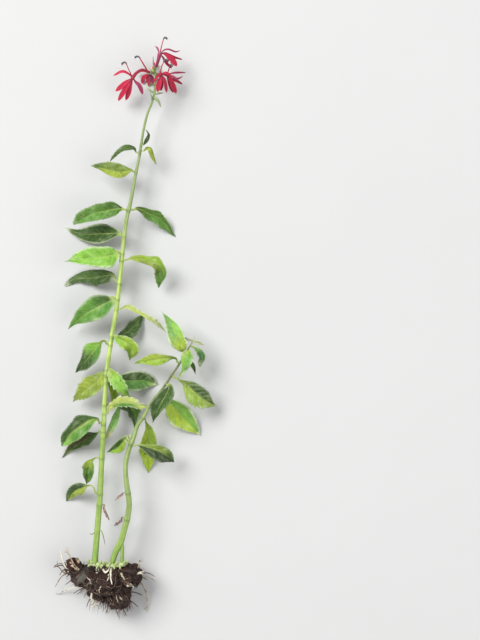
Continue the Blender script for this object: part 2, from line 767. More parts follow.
@dataclass
class Leaf:
    """One toothed leaf on its stalk, on the same path as its solid.

    The near half lies left of the midrib on the way to the tip, and the far half right of it. Each
    has its half widths in millimetres at every tenth of the way, and its tones at the base, the
    middle and the tip. `foot` is the height at which the leaf leaves its stem, and `roll`, `folds`
    and `turns` are the blade's roll at both ends and the rise of each half, in degrees, and where
    one tone turns into the next.
    """

    kind: Kind
    foot: float
    path: Rows
    near: tuple[float, ...]
    far: tuple[float, ...]
    near_tones: Tones
    far_tones: Tones
    name: str = ""
    roll: tuple[float, float] = (0.0, 0.0)
    folds: tuple[float, float] = (13.0, 13.0)
    turns: tuple[float, float] = (0.28, 0.76)
    rim: float = 0.3
    glow: float = 0.15
    pale_tip: float = 0.0
    vein: float = 0.0
    tip_power: float = 1.1
    stalk_share: float = 0.05
    stalk_radius: float = 0.8
    thickness: float = 0.42
    tooth_depth: float = 0.07
    tooth_pitch: float = 2.6
    tooth_lean: float = 0.7
    pairs: float = VEIN_PAIRS
    sweep: float = VEIN_SWEEP
    relief: float = 0.5
    wave: float = 0.9
    groove: float = 0.3
    buckle: float = 0.9
    rib_end: float = 0.16
    half_columns: int = 8
    fewest_teeth: int = 7
    base_half_width: float = 0.4
    least_half_width: float = 0.25
    seat_gap: float = 0.3
    spring: float = 2.2
    clearance: float = 0.32

    @property
    def width(self) -> float:
        """The blade's full width in millimetres."""
        return max(self.near) + max(self.far)

    def line(self, stem: Spine) -> Spine:
        """The midrib's line, from inside the stem to the tip."""
        middle, along, radius = stem.at_height(self.foot)
        out = Vector(self.path[1]) - middle
        out = (out - along * out.dot(along)).normalized()
        foot = middle + out * (radius + self.seat_gap)
        return Spine((foot, foot + out * self.spring, *self.path))

    def rows(self) -> int:
        """How many rows of faces the blade has."""
        span = (Vector(self.path[-1]) - Vector(self.path[0])).length
        return len(TOOTH) * max(self.fewest_teeth, round(span / self.tooth_pitch))

    def build(self, stem: Spine, finish: Material) -> Object:
        """Makes the leaf.

        Args:
            stem: The stem that it grows from.
            finish: Its material.

        Returns:
            The leaf's object.
        """
        line = self.line(stem)
        form = Form()
        form.sheet(2 * self.half_columns, self.rows(), self._blade(line), self.thickness)
        self._stalk(form, line, stem)
        return form.piece("blade_" + self.name, finish, self.kind.value, self.name)

    def _half_width(self, half: int, share: float) -> float:
        """The half width of one half at a share of the length, without the teeth."""
        widths = (self.base_half_width, *(self.far if half else self.near), 0.0)
        at = min(share, 1.0) * (len(widths) - 1)
        index = min(int(at), len(widths) - 2)
        t = at - index
        b, c = widths[index], widths[index + 1]
        if index == len(widths) - 2:
            return b * (1 - t) ** self.tip_power
        a, d = widths[max(0, index - 1)], widths[index + 2]
        smooth = b + 0.5 * t * (c - a + t * (2 * a - 5 * b + 4 * c - d + t * (3 * (b - c) + d - a)))
        return max(self.least_half_width, smooth)

    def _stance(self, line: Spine, share: float) -> tuple[Vector, Vector, Vector, float]:
        """The midrib's place, the way on, the blade's upward direction and its roll at a share."""
        middle, way, _, _ = line.at(share)
        turn = radians(self.roll[0] + (self.roll[1] - self.roll[0]) * share)
        return middle, way, upright(way, turn), turn

    def _shade(self, across: float, share: float, vein: float) -> Colour:
        """The tint at a place on the blade, where `vein` is 0 on a side vein."""
        stalk, milk = Tone.STALK.linear, Tone.MILK.linear
        first, second = (ramp(share, turn - 0.16, turn + 0.16) for turn in self.turns)
        near, far = (
            blend(blend(base.linear, middle.linear, first), tip.linear, second)
            for base, middle, tip in (self.near_tones, self.far_tones)
        )
        out = abs(across)
        leaving = ramp(share, self.stalk_share * 0.8, self.stalk_share + 0.08)
        colour = blend(stalk, blend(near, far, ramp(across, -0.10, 0.10)), leaving)
        line = (1 - ramp(vein, 0.0, 0.30)) * ramp(out, 0.05, 0.3) * (1 - ramp(out, 0.8, 1.0))
        colour = blend(colour, milk, line * self.vein)
        colour = blend(colour, stalk, (1 - ramp(out, 0.05, 0.20)) * self.glow * (1 - share))
        colour = blend(colour, milk, ramp(out, 0.74, 0.96) * self.rim * 0.85)
        return blend(colour, milk, ramp(share, 0.88, 0.97) * self.pale_tip)

    def _blade(self, line: Spine) -> Place:
        """The place and the tint of each point of the blade."""
        draw = Random(self.name)
        rows, steps = self.rows(), len(TOOTH)
        teeth = [[0.5 + draw.random() for _ in range(rows // steps + 1)] for _ in range(2)]
        phase = draw.uniform(0, tau)
        seed = Vector((draw.uniform(0, 99), draw.uniform(0, 99), 0.0))
        rises = [tan(radians(fold)) for fold in self.folds]

        def place(across: float, along: float) -> tuple[Vector, Colour]:
            """The place and tint at a share of the half width and a share of the rows."""
            row = round(along * rows)
            share = (row / rows) ** 1.1
            out = abs(across)
            half = int(across > 0)
            tooth = TOOTH[row % steps] * teeth[half][row // steps]
            body = ramp(share, self.stalk_share, self.stalk_share + 0.12)
            middle, way, up, turn = self._stance(line, share)
            reach = self._half_width(half, share)
            reach *= 1 - self.tooth_depth * (1 - tooth) * out**4 * body
            reach /= max(0.5, abs(cos(turn)))
            pairs = (share - self.sweep * out**VEIN_CURVE) * self.pairs + (0.5 if half else 0.0)
            vein = abs(pairs % 1.0 - 0.5) * 2
            quilt = (ramp(vein, 0.0, 0.55) - 0.6) * self.relief * (1 - out**3) * ramp(out, 0.0, 0.2)
            groove = -self.groove * (1 - ramp(out, 0.0, 0.16))
            bump = noise.noise(Vector((share * 5, across * 1.2, 0.0)) + seed)
            buckle = self.buckle * bump * min(1.0, self.width / 14)
            flutter = self.wave * out**2 * sin(phase + share * 17.0 + (2.4 if half else 0.0))
            fold = out * reach * rises[half] * (1.15 - 0.3 * out)
            lift = fold + (quilt + groove + buckle + flutter * reach / 9) * body
            lean = self.tooth_lean * tooth * out**4 * body * (share < 1.0)
            where = middle + way.cross(up) * across * reach + up * lift + way * lean
            where.z = max(where.z, self.clearance)
            patch = noise.noise(Vector((share * 7, across * 2.4, 5.0)) + seed)
            colour = self._shade(across, share, vein)
            colour = blend(colour, (0.0, 0.02, 0.0), max(0.0, -patch) * 0.30)
            return where, blend(colour, Tone.MILK.linear, max(0.0, patch - 0.05) * 0.30)

        return place

    def _stalk(self, form: Form, line: Spine, stem: Spine) -> None:
        """Adds the round stalk, which runs on under the blade as its midrib."""
        middle, _, _ = stem.at_height(self.foot)
        knots = [middle.lerp(line.at(0.0)[0], 0.55)]
        for step in range(11):
            share = 0.01 + 0.93 * step / 10
            centre, _, up, _ = self._stance(line, share)
            drop = 0.45 * ramp(share, self.stalk_share * 0.7, self.stalk_share * 1.6)
            low = centre - up * drop
            low.z = max(low.z, self._rib(share) + CLEARANCE)
            knots.append(low)
        stalk = Tone.STALK.linear
        under = blend(stalk, self.near_tones[1].linear, 0.5)
        form.tube(
            Spine(knots, 2),
            lambda share: self._rib(share) * (1 + 0.5 * (1 - ramp(share, 0.0, 0.08))),
            lambda turn, share: blend(stalk, under, ramp(share, 0.1, 0.5)),
            8, 22,
        )

    def _rib(self, share: float) -> float:
        """The radius of the stalk and the midrib under the blade."""
        thick = self.stalk_radius * min(1.0, self.width / 12)
        return (self.rib_end + (thick - self.rib_end) * (1 - ramp(share, -0.1, 0.75))) + 0.02


@dataclass
class WitheredLeaf(Leaf):
    """A small leaf that has dried and crumpled on its stem."""

    folds: tuple[float, float] = (34.0, 20.0)
    tooth_depth: float = 0.3
    relief: float = 0.9
    wave: float = 3.0
    pairs: float = 4.0
    stalk_radius: float = 0.6
    half_columns: int = 5


def named(pattern: str, leaves: Sequence[Leaf]) -> tuple[Leaf, ...]:
    """The leaves of a row, each with its number from 1 on in its name."""
    return tuple(replace(leaf, name=pattern.format(n)) for n, leaf in enumerate(leaves, 1))


@dataclass
class Stem:
    """A ribbed stem, a little swollen where each leaf leaves it."""

    name: str
    node: str
    line: Rows
    tones: tuple[tuple[float, Tone], ...]
    leaves: tuple[Leaf, ...]
    prong: Rows = ()
    ridges: int = 6
    ridge_depth: float = 0.06
    swelling: float = 0.12
    swelling_reach: float = 2.2
    scar_reach: float = 1.0
    twist: float = 1.5
    sides: int = 24
    rings: int = 280
    prong_rings: int = 40
    spine: Spine = field(init=False)

    def __post_init__(self) -> None:
        """Fits the middle line."""
        self.spine = Spine(self.line)

    def colour(self, height: float) -> Colour:
        """The stem's colour at a height."""
        for (low, first), (high, second) in zip(self.tones, self.tones[1:]):
            if height <= high:
                return blend(first.linear, second.linear, (height - low) / (high - low))
        return self.tones[-1][1].linear

    def build(self, finish: Material) -> Object:
        """Makes the stem and the second foot that it may have."""
        form = Form()
        self._trunk(form, self.spine, self.rings)
        if self.prong:
            self._trunk(form, Spine(self.prong), self.prong_rings)
        return form.piece(self.name, finish, "stem_green", self.node)

    def _ridge(self, turn: float, share: float) -> float:
        """1 on a ridge and -1 in a groove, at a turn and a share of the length."""
        return cos(tau * (turn * self.ridges + self.twist * share))

    def _leaf_feet(self, height: float, reach: float) -> float:
        """How near a height is to the feet of the leaves: 1 at a foot, fading over a reach."""
        return min(1.0, sum(exp(-((height - leaf.foot) / reach) ** 2) for leaf in self.leaves))

    def _trunk(self, form: Form, spine: Spine, rings: int) -> None:
        """Adds one ribbed tube, swollen at the feet of the leaves."""
        forest, straw = Tone.FOREST.linear, Tone.STRAW.linear

        def radius(share: float) -> float:
            """The radius at a share of the length."""
            where, _, _, size = spine.at(share)
            swollen = self.swelling * self._leaf_feet(where.y, self.swelling_reach)
            return size * (1 + swollen + 0.03 * noise.noise(where / 3.0))

        def ribs(turn: float, share: float) -> float:
            """What the radius is multiplied by, for the ridges."""
            return 1 + self.ridge_depth * self._ridge(turn, share)

        def colour(turn: float, share: float) -> Colour:
            """The tint, darker in blotches and under the leaves, and pale on the ridges."""
            height = spine.at(share)[0].y
            base = self.colour(height)
            ring = Vector((cos(tau * turn), sin(tau * turn), height / 16))
            mark = ramp(noise.noise(ring * 1.3), 0.0, 0.45)
            ridge = 0.5 + 0.5 * self._ridge(turn, share)
            scar = self._leaf_feet(height + 1.5, self.scar_reach)
            base = blend(base, blend(base, forest, 0.7), mark * 0.45)
            base = blend(base, blend(base, straw, 0.7), ridge * 0.5)
            return blend(base, forest, scar * 0.45)

        form.tube(spine, radius, colour, self.sides, rings, ribs)


@dataclass
class Sprig:
    """A bract, thread, spent stalk or bud.

    It has the height at which it leaves the stem, its path, its radius, its tone, and how much of
    its radius is left at the tip.
    """

    foot: float
    path: Rows
    radius: float
    tone: Tone = Tone.STEM_TOP
    tip_share: float = 0.35

    def add(self, form: Form, stem: Stem) -> None:
        """Adds it to a form."""
        base, tip = stem.colour(self.foot), self.tone.linear
        form.tube(
            Spine((stem.spine.at_height(self.foot)[0], *self.path)),
            self._thickness,
            lambda turn, share: blend(base, tip, ramp(share, 0.2, 0.8)),
            9, 16, flutes(3, 0.08),
        )

    def _thickness(self, share: float) -> float:
        """The radius at a share of the length."""
        taper = 1 - (1 - self.tip_share) * share**2
        return self.radius * (1 + 0.25 * sin(pi * share)) * taper


@dataclass
class Lobe:
    """One lobe of the petals: its path from the throat, its width, roll and tone."""

    path: Rows
    width: float
    roll: float = 0.0
    tone: Tone = Tone.SCARLET
    fold: float = 10.0
    widest: float = 0.60
    fullness: float = 1.6
    claw: float = 0.5
    clearance: float = 0.3

    def place(self, inner: Vector, draw: Random) -> Place:
        """The place and tint of each point of the lobe, from a start inside the throat."""
        line = Spine((inner, *self.path))
        rise = tan(radians(self.fold))
        phase = draw.uniform(0, tau)
        base, body, rose = Tone.WINE.linear, self.tone.linear, Tone.ROSE.linear

        def found(across: float, along: float) -> tuple[Vector, Colour]:
            """The place and tint at a share of the half width and a share of the length."""
            middle, way, _, _ = line.at(along)
            up = upright(way, radians(self.roll * along))
            out = abs(across)
            reach = max(self.claw * (along < 1.0), self.width * 0.46 * self._outline(along))
            curl = out * reach * rise - 0.10 * reach * out**3
            ripple = 0.22 * out**2 * sin(phase + along * 15 + (2.0 if across > 0 else 0.0))
            crease = -0.16 * (1 - ramp(out, 0.0, 0.22))
            ridge = 0.07 * cos(across * 9 * pi) * (1 - out)
            lift = curl + (ripple + crease + ridge) * ramp(along, 0.0, 0.3)
            where = middle + way.cross(up) * across * reach + up * lift
            where.z = max(where.z, self.clearance)
            colour = blend(base, body, ramp(along, 0.0, 0.35))
            colour = blend(colour, blend(colour, rose, 0.6), ramp(out, 0.6, 1.0) * 0.6)
            dark = (1 - ramp(out, 0.0, 0.12)) * 0.7
            return where, blend(colour, blend(colour, base, 0.6), dark)

        return found

    def _outline(self, share: float) -> float:
        """The half width at a share of the length, as a share of the widest half width."""
        if share <= 0.0 or share >= 1.0:
            return 0.0
        widening = (share / self.widest) ** (self.fullness * self.widest)
        rest = 1 - self.widest
        return widening * ((1 - share) / rest) ** (self.fullness * rest)


@dataclass
class Flower:
    """One flower: calyx, red tube and lobes, filament column, anthers and their white tuft."""

    name: str
    foot: float
    cup: Triple
    tube: Rows
    column: Rows
    anther: Rows
    lobes: tuple[Lobe, ...]
    tube_radii: tuple[float, float] = (1.2, 2.0)
    column_radius: float = 0.62
    anther_radii: tuple[float, ...] = (0.6, 0.75, 0.9, 1.0, 0.9)
    tube_tone: Tone = Tone.CRIMSON
    lobe_thickness: float = 0.42
    cup_ribs: int = 10
    sepals: int = 5
    hairs: int = 46
    hair_radius: float = 0.14

    def calyx(self, form: Form, stem: Stem) -> None:
        """Adds the pedicel, the ribbed cup and the narrow pointed sepals to a form."""
        start = stem.spine.at_height(self.foot)[0]
        end, mouth = Vector(self.cup), Vector(self.tube[0])
        axis = (mouth - end).normalized()
        rim = mouth - axis * 0.5
        green, dark, rosy = Tone.STEM_TOP.linear, Tone.HUSK.linear, Tone.BLUSH.linear
        form.tube(
            Spine((start, (start + end) / 2, end + axis * 0.5)),
            lambda share: 0.75 + 0.15 * share,
            lambda turn, share: blend(green, dark, share * 0.4),
            9, 12,
        )
        stripes = flutes(self.cup_ribs, 1.0)
        form.tube(
            Spine((end - axis * 0.6, end.lerp(rim, 0.5), rim)),
            lambda share: 0.75 + 0.75 * sin(min(1.0, share * 1.15) * pi / 2),
            lambda turn, share: blend(green, dark, 0.3 * stripes(turn, share)),
            30, 10, flutes(self.cup_ribs, 0.07),
        )
        side = axis.orthogonal().normalized()
        for turn in range(self.sepals):
            out = Matrix.Rotation(tau * turn / self.sepals, 3, axis) @ side
            root = rim - axis + out * 0.9
            bend = root + out * 1.5 + axis * 1.6
            form.tube(
                Spine((root, bend, bend + out * 0.7 + axis * 2.8)),
                lambda share: 0.42 * (1 - share) ** 0.7 + 0.08,
                lambda turn, share: blend(green, rosy, 0.3 + 0.7 * share),
                7, 10,
            )

    def corolla(self, finish: Material) -> Object:
        """Makes the red tube, its lobes and the column."""
        form = Form()
        draw = Random(self.name)
        narrow, wide = self.tube_radii
        crimson, wine, rose = self.tube_tone.linear, Tone.WINE.linear, Tone.ROSE.linear
        form.tube(
            Spine(self.tube),
            lambda share: narrow + (wide - narrow) * share**1.5 - 0.1 * sin(pi * share),
            lambda turn, share: blend(wine, crimson, 0.3 + 0.7 * share),
            24, 26, flutes(5, 0.06),
        )
        form.tube(
            Spine(self.column),
            lambda share: self.column_radius * (1 - 0.25 * share),
            lambda turn, share: blend(crimson, rose, share),
            10, 22, flutes(5, 0.08),
        )
        throat = Vector(self.tube[-1])
        inner = throat + (Vector(self.tube[-2]) - throat).normalized() * 1.5
        for lobe in self.lobes:
            form.sheet(12, 28, lobe.place(inner, draw), self.lobe_thickness)
        return form.piece("petals_" + self.name, finish, "petal_red", "corolla_" + self.name)

    def anthers(self, finish: Material) -> Object:
        """Makes the grooved grey tube of anthers."""
        below, end = (Vector(p) for p in self.column[-2:])
        start = end + (end - below).normalized() * 0.1
        last = len(self.anther_radii) - 1

        def radius(share: float) -> float:
            """The radius at a share of the length."""
            index = min(int(share * last), last - 1)
            low, high = self.anther_radii[index : index + 2]
            return low + (high - low) * (share * last - index)

        grey, violet = Tone.ANTHER.linear, Tone.PLUM.linear
        form = Form()
        form.tube(
            Spine((start, *self.anther)), radius,
            lambda turn, share: blend(violet, grey, ramp(share, 0.0, 0.4)),
            20, 24, flutes(5, 0.07),
        )
        return form.piece("anther_tube_" + self.name, finish, "anther_grey", "anthers_" + self.name)

    def tuft(self, finish: Material) -> Object:
        """Makes the white hairs at the mouth of the anthers."""
        below, end = (Vector(p) for p in self.anther[-2:])
        way = (end - below).normalized()
        side = way.orthogonal().normalized()
        draw = Random("tuft " + self.name)
        white = Tone.TUFT.linear
        form = Form()
        form.tube(
            Spine((end - way * 0.3, end + way * 0.3, end + way * 0.7)),
            lambda share: 0.95 * sqrt(max(0.0, 1 - share**2)) + 0.05,
            lambda turn, share: white,
            10, 6,
        )
        for _ in range(self.hairs):
            out = Matrix.Rotation(draw.uniform(0, tau), 3, way) @ side
            spread = draw.uniform(0.05, 1.2)
            start = end + out * spread * 0.6 - way * 0.3
            reach = draw.uniform(1.1, 2.1)
            bend = start + (way + out * spread * 0.5) * reach * 0.6
            flare = (way + out * (spread * 0.9 + draw.uniform(-0.2, 0.2))).normalized()
            form.thread(
                Spine((start, bend, bend + flare * reach * 0.5), 3),
                lambda share: self.hair_radius * (1 - 0.7 * share),
                lambda turn, share: white,
                4, 4,
            )
        return form.piece("anther_tuft_" + self.name, finish, "anther_grey", "anthers_" + self.name)


@dataclass
class Crown:
    """The short pale rootstock with its scaly buds, each with its root, its tip and its radius."""

    line: Rows
    buds: tuple[tuple[Triple, Triple, float], ...]

    def build(self, finish: Material) -> Object:
        """Makes the rootstock and its buds."""
        form = Form()
        spine = Spine(self.line)
        pale, green, soil = Tone.CROWN.linear, Tone.STEM_LOW.linear, Tone.HUSK.linear

        def radius(share: float) -> float:
            """The knobbly radius at a share of the length."""
            where, _, _, size = spine.at(share)
            return size * (0.86 + 0.3 * noise.noise(where / 2.4))

        def colour(turn: float, share: float) -> Colour:
            """The tint, greener in patches and soiled at both ends."""
            where = spine.at(share)[0] / 3
            mark = ramp(noise.noise(where + Vector((turn * 3, 0, 0))), -0.1, 0.4)
            soiled = ramp(abs(share - 0.5), 0.42, 0.5) * 0.6
            return blend(blend(pale, green, mark), soil, soiled)

        form.tube(
            spine, radius, colour, 24, 90,
            lambda turn, share: 1 + 0.04 * cos(tau * (turn * 5 + share * 2)),
        )
        for root, tip, size in self.buds:
            self._bud(form, Vector(root), Vector(tip), size)
        return form.piece("crown", finish, "crown_green", "rootstock")

    @staticmethod
    def _bud(form: Form, root: Vector, tip: Vector, size: float) -> None:
        """Adds a pointed bud wrapped in overlapping scales."""
        pale, green = Tone.PALE.linear, Tone.STEM_GREY.linear

        def colour(turn: float, share: float) -> Colour:
            """The tint, paler towards the tip and striped round."""
            stripe = 0.25 * sin(tau * turn * 3)
            return blend(green, pale, 0.25 + 0.5 * share + stripe)

        form.tube(
            Spine((root, root.lerp(tip, 0.6), tip)),
            lambda share: size * (0.8 + 0.45 * share - 1.15 * share**2.4) + 0.05,
            colour, 20, 24,
            lambda turn, share: 1 + 0.05 * ((share * 2 + turn) % 1.0 - 0.5),
        )


@dataclass
class RootBall:
    """The dark matted ball with its strands, fringe and pale roots.

    Each lump has its middle and its three half sizes, each long root its path, radius and tone, and
    each pale root its plan and radius. `floor` is how near a root's middle may come to the floor,
    and `low` and `high` are how far loose roots may reach down the picture and up from the floor.
    """

    lumps: tuple[tuple[Triple, Triple], ...]
    middle: Triple
    long_roots: tuple[tuple[Rows, float, Tone], ...]
    pale_roots: tuple[tuple[Rows, float], ...]
    roughness: float = 2.6
    grain: float = 8.0
    voxel: float = 0.9
    noise_seed: int = 1
    crumbs: tuple[tuple[float, float], ...] = ((2.4, 6.5), (1.4, 2.8), (0.7, 1.2))
    floor: float = 0.5
    low: float = -292.0
    high: float = 54.0
    neck: float = -238.0
    parting: float = -27.0
    comb: float = 28.0
    strands: int = 760
    strand_tones: Tones = tones("PEAT PEAT BARK BARK RUST MAUVE HUSK")
    fringe: int = 170
    fringe_tones: Tones = tones("BARK BARK RUST HUSK BONE")
    tassels: int = 70
    tassel_span: tuple[float, float] = (-32.0, -4.0)
    tassel_top: float = -268.0
    tassel_tones: Tones = tones("BARK MAUVE MAUVE HUSK BONE")
    old_fibres: int = 22
    fibre_tones: Tones = tones("FELT FELT MAUVE")
    old_base: tuple[float, float] = (-46.0, -240.0)
    old_base_side: tuple[float, float] = (0.66, -0.75)
    red_spot: tuple[float, float] = (-63.0, -234.5)
    hair_roots: int = 26
    hair_tones: Tones = tones("BARK RUST HUSK BONE")
    hair_reach: tuple[float, float] = (9.0, 20.0)
    hair_radius: float = 0.7
    rootlets: int = 5
    pale_tones: Tones = tones("IVORY IVORY IVORY BONE")
    pale_lift: float = 1.0
    tree: BVHTree = field(init=False)

    def build(self, soil: Material, root: Material) -> None:
        """Makes the ball, the strands that wind over it and the roots that stand out of it."""
        self._core(soil)
        draw = Random(SEED)
        hairs, mat, edge, pale = Form(), Form(), Form(), Form()
        for index in range(self.hair_roots):
            self._hair_root(hairs, index, draw)
        for _ in range(self.strands):
            self._strand(mat, draw)
        for _ in range(self.fringe):
            self._fringe(edge, draw)
        for _ in range(self.tassels):
            self._tassel(edge, draw)
        for path, radius, tone in self.long_roots:
            self._long_root(pale, path, radius, tone, draw)
        for path, radius in self.pale_roots:
            self._pale_root(pale, path, radius, draw)
        for _ in range(self.old_fibres):
            self._old_fibre(pale, draw)
        hairs.piece("fine_roots", root, "root_brown", "root_ball")
        mat.piece("root_strands", root, "root_brown", "root_ball")
        edge.piece("root_fringe", root, "root_brown", "root_ball")
        pale.piece("pale_roots", root, "root_brown", "root_ball")

    def _core(self, soil: Material) -> None:
        """Makes the ball from lumps that are melted together, and keeps its surface."""
        form = Form()
        form.mesh.from_mesh(self._melt())
        form.mesh.normal_update()
        for vert, normal in [(v, v.normal.copy()) for v in form.mesh.verts]:
            place = vert.co / MM
            crumb = sum(depth * noise.noise(place / size) for depth, size in self.crumbs)
            place += normal * (crumb - 0.5)
            place.z = max(place.z, 0.15)
            vert.co = place * MM
            vert[form.tint] = (*self._soil(place), 1.0)
        for face in form.mesh.faces:
            face.smooth = True
        form.mesh.normal_update()
        self.tree = BVHTree.FromBMesh(form.mesh)
        form.piece("root_core", soil, "root_brown", "root_ball")

    def _melt(self) -> Mesh:
        """The lumps as one closed mesh."""
        noise.seed_set(self.noise_seed)
        work = bmesh.new()
        for middle, half in self.lumps:
            made = bmesh.ops.create_icosphere(work, subdivisions=4, radius=1)["verts"]
            for vert in made:
                out = Vector(a * b for a, b in zip(vert.co.normalized(), half))
                place = Vector(middle) + out
                place += noise.noise_vector(place / self.grain) * self.roughness
                place.z = max(place.z, self.floor)
                vert.co = place * MM
        rough = bpy.data.meshes.new("lumps")
        work.to_mesh(rough)
        work.free()
        helper = stand("lumps", rough)
        melt = helper.modifiers.new("melt", "REMESH")
        melt.mode = "VOXEL"
        melt.voxel_size = self.voxel * MM
        graph = bpy.context.evaluated_depsgraph_get()
        melted = bpy.data.meshes.new_from_object(helper.evaluated_get(graph))
        bpy.data.objects.remove(helper)
        return melted

    def _soil(self, place: Vector) -> Colour:
        """The ball's colour: reddish in the left lump, grey over the old leaf base."""
        plan = place.to_2d()
        patch = ramp(noise.noise(place / 9.0), -0.1, 0.5) * 0.5
        rust = ramp(noise.noise(place / 6.0 + UP * 9), 0.0, 0.4) * 0.8
        red = 1 - ramp((plan - Vector(self.red_spot)).length, 4.0, 9.0)
        off = abs((plan - Vector(self.old_base)).dot(Vector(self.old_base_side)))
        ends = ramp(place.x, -66.0, -60.0) * (1 - ramp(place.x, -48.0, -43.0))
        felt = ends * (1 - ramp(off, 3.0, 6.0)) * 0.7
        colour = blend(Tone.PEAT.linear, Tone.MAUVE.linear, patch)
        for tone, share in ((Tone.RUST, rust), (Tone.CLAY, red), (Tone.FELT, felt)):
            colour = blend(colour, tone.linear, share)
        return colour

    def _start(self, draw: Random) -> Vector:
        """A place on the outside of the lumps, whatever faces their mesh has."""
        spans = [half[0] * half[1] for _, half in self.lumps]
        while True:
            middle, half = draw.choices(self.lumps, spans)[0]
            out = Vector(draw.gauss(0.0, 1.0) for _ in range(3)).normalized()
            point = Vector(middle) + Vector(a * b for a, b in zip(out, half))
            depths = [
                sum(((p - m) / h) ** 2 for p, m, h in zip(point, *lump)) for lump in self.lumps
            ]
            if point.z > 2.0 and min(depths) > 0.9:
                return point

    def _on_ball(self, point: Vector, lift: float) -> tuple[Vector, Vector]:
        """The nearest place on the ball's surface, lifted off it, and the way out of it."""
        where, normal, _, _ = self.tree.find_nearest(point * MM)
        found = where / MM + normal * lift
        found.z = max(found.z, self.floor)
        return found, normal

    def _strand(self, form: Form, draw: Random) -> None:
        """Adds one strand that winds over the ball."""
        point, normal = self._on_ball(self._start(draw), 0.3)
        combed = Vector((point.x - self.parting, -self.comb, 0.0)) / self.comb
        way = jitter(draw, 1.0) + combed
        lift = draw.uniform(0.1, 1.6)
        stride = draw.uniform(1.6, 3.4)
        knots = [point - normal * 0.8]
        for step in range(1, 8):
            way += jitter(draw, 0.5)
            way = (way - normal * way.dot(normal)).normalized()
            high = lift * sin(pi * step / 8)
            point, normal = self._on_ball(point + way * stride, high)
            knots.append(point)
        tone = draw.choice(self.strand_tones)
        self._root(form, knots, draw.uniform(0.2, 0.55), 0.4, tone, 4, 14)

    def _fringe(self, form: Form, draw: Random) -> None:
        """Adds one thin root that leaves the ball and hangs loose."""
        start, normal = self._on_ball(self._start(draw), -0.8)
        sag = Vector((draw.uniform(-0.5, 0.5), draw.uniform(-0.9, 0.2), draw.uniform(-0.5, 0.1)))
        way = normal + sag
        if start.y > self.neck:
            way.y *= 0.3
        way.normalize()
        reach = draw.uniform(3.0, 9.0)
        knots = [start]
        for _ in range(4):
            way += jitter(draw, 0.4)
            way.normalize()
            x, y, z = knots[-1] + way * reach / 4
            knots.append(Vector((x, max(y, self.low), min(max(z, self.floor), self.high))))
        tone = draw.choice(self.fringe_tones)
        self._root(form, knots, draw.uniform(0.18, 0.34), 0.35, tone, 4, 10)

    def _tassel(self, form: Form, draw: Random) -> None:
        """Adds one of the wavy roots that hang in a tassel from the foot of the ball."""
        left, right = self.tassel_span
        x = draw.uniform(left, right)
        start, _ = self._on_ball(Vector((x, self.tassel_top, draw.uniform(8.0, 30.0))), -1.0)
        spread = (x - (left + right) / 2) / ((right - left) / 2)
        reach = draw.uniform(7.0, 17.0)
        knots = [start]
        for _ in range(5):
            sway = spread * 0.25 + draw.uniform(-0.3, 0.3)
            drop = Vector((sway, -1.0, draw.uniform(-0.45, 0.15)))
            x, y, z = knots[-1] + drop * reach / 5
            knots.append(Vector((x, max(y, self.low + 1.0), max(z, self.floor))))
        tone = draw.choice(self.tassel_tones)
        self._root(form, knots, draw.uniform(0.25, 0.5), 0.4, tone, 4, 14)

    def _old_fibre(self, form: Form, draw: Random) -> None:
        """Adds one of the flat grey fibres of an old leaf base over the left of the ball."""
        top, along = Vector((-47.0, -241.0)), Vector((-14.0, -13.0))
        across = Vector(self.old_base_side) * draw.uniform(-3.2, 3.2)
        first, last = draw.uniform(0.0, 0.3), draw.uniform(0.6, 1.0)
        knots = []
        for step in range(6):
            plan = top + along * (first + (last - first) * step / 5) + across
            knots.append(self._drape(plan.x, plan.y, 0.5))
        radius = draw.uniform(0.5, 0.95)
        self._root(form, knots, radius, 0.5, draw.choice(self.fibre_tones), 6, 16)

    def _hair_root(self, form: Form, index: int, draw: Random) -> None:
        """Adds one of the finer roots that the solid has too."""
        middle, half = (Vector(v) for v in self.lumps[index % len(self.lumps)])
        out = (middle - Vector(self.middle)).normalized() + jitter(draw, 0.9)
        out.y = min(out.y, 0.3)
        out.z = min(out.z, 0.4)
        out.normalize()
        start = middle + Vector(a * b for a, b in zip(out, half)) * 0.93
        reach = draw.uniform(*self.hair_reach)
        swing = Vector((draw.uniform(-0.5, 0.5), draw.uniform(-0.9, 0.0), draw.uniform(-0.4, 0.2)))
        bend = start + out * reach * 0.45
        end = bend + (out + swing).normalized() * reach * 0.55
        for point in (start, bend, end):
            point.z = max(point.z, self.hair_radius + 0.3)
        knots = (start.lerp(middle, 0.5), start, bend, end)
        tone = self.hair_tones[index % len(self.hair_tones)]
        self._root(form, knots, self.hair_radius, 0.4, tone, 7, 30)

    def _long_root(self, form: Form, path: Rows, radius: float, tone: Tone, draw: Random) -> None:
        """Adds a long root with a few rootlets on it."""
        line = Spine(path)
        self._root(form, path, radius, 0.4, tone, 9, 44)
        for _ in range(self.rootlets):
            start, way, side, _ = line.at(draw.uniform(0.25, 0.95))
            out = Matrix.Rotation(draw.uniform(0, tau), 3, way) @ side
            bend = start + (out + way * 0.8) * draw.uniform(1.2, 2.4)
            tip = bend + (out * 0.5 + way + Vector((0, 0, -0.4))) * draw.uniform(1.0, 3.0)
            for point in (bend, tip):
                point.z = max(point.z, self.floor)
                point.y = max(point.y, self.low)
            self._root(form, (start, bend, tip), radius * 0.35, 0.5, tone, 5, 8)

    def _pale_root(self, form: Form, path: Rows, radius: float, draw: Random) -> None:
        """Adds a pale root that lies over the top of the ball."""
        knots = []
        for a, b in zip(path, path[1:]):
            for step in range(3):
                x, y = (p + (q - p) * step / 3 + draw.uniform(-0.3, 0.3) for p, q in zip(a, b))
                knots.append(self._drape(x, y, radius))
        knots.append(self._drape(*path[-1], radius))
        self._root(form, knots, radius, 0.5, draw.choice(self.pale_tones), 8, 24)

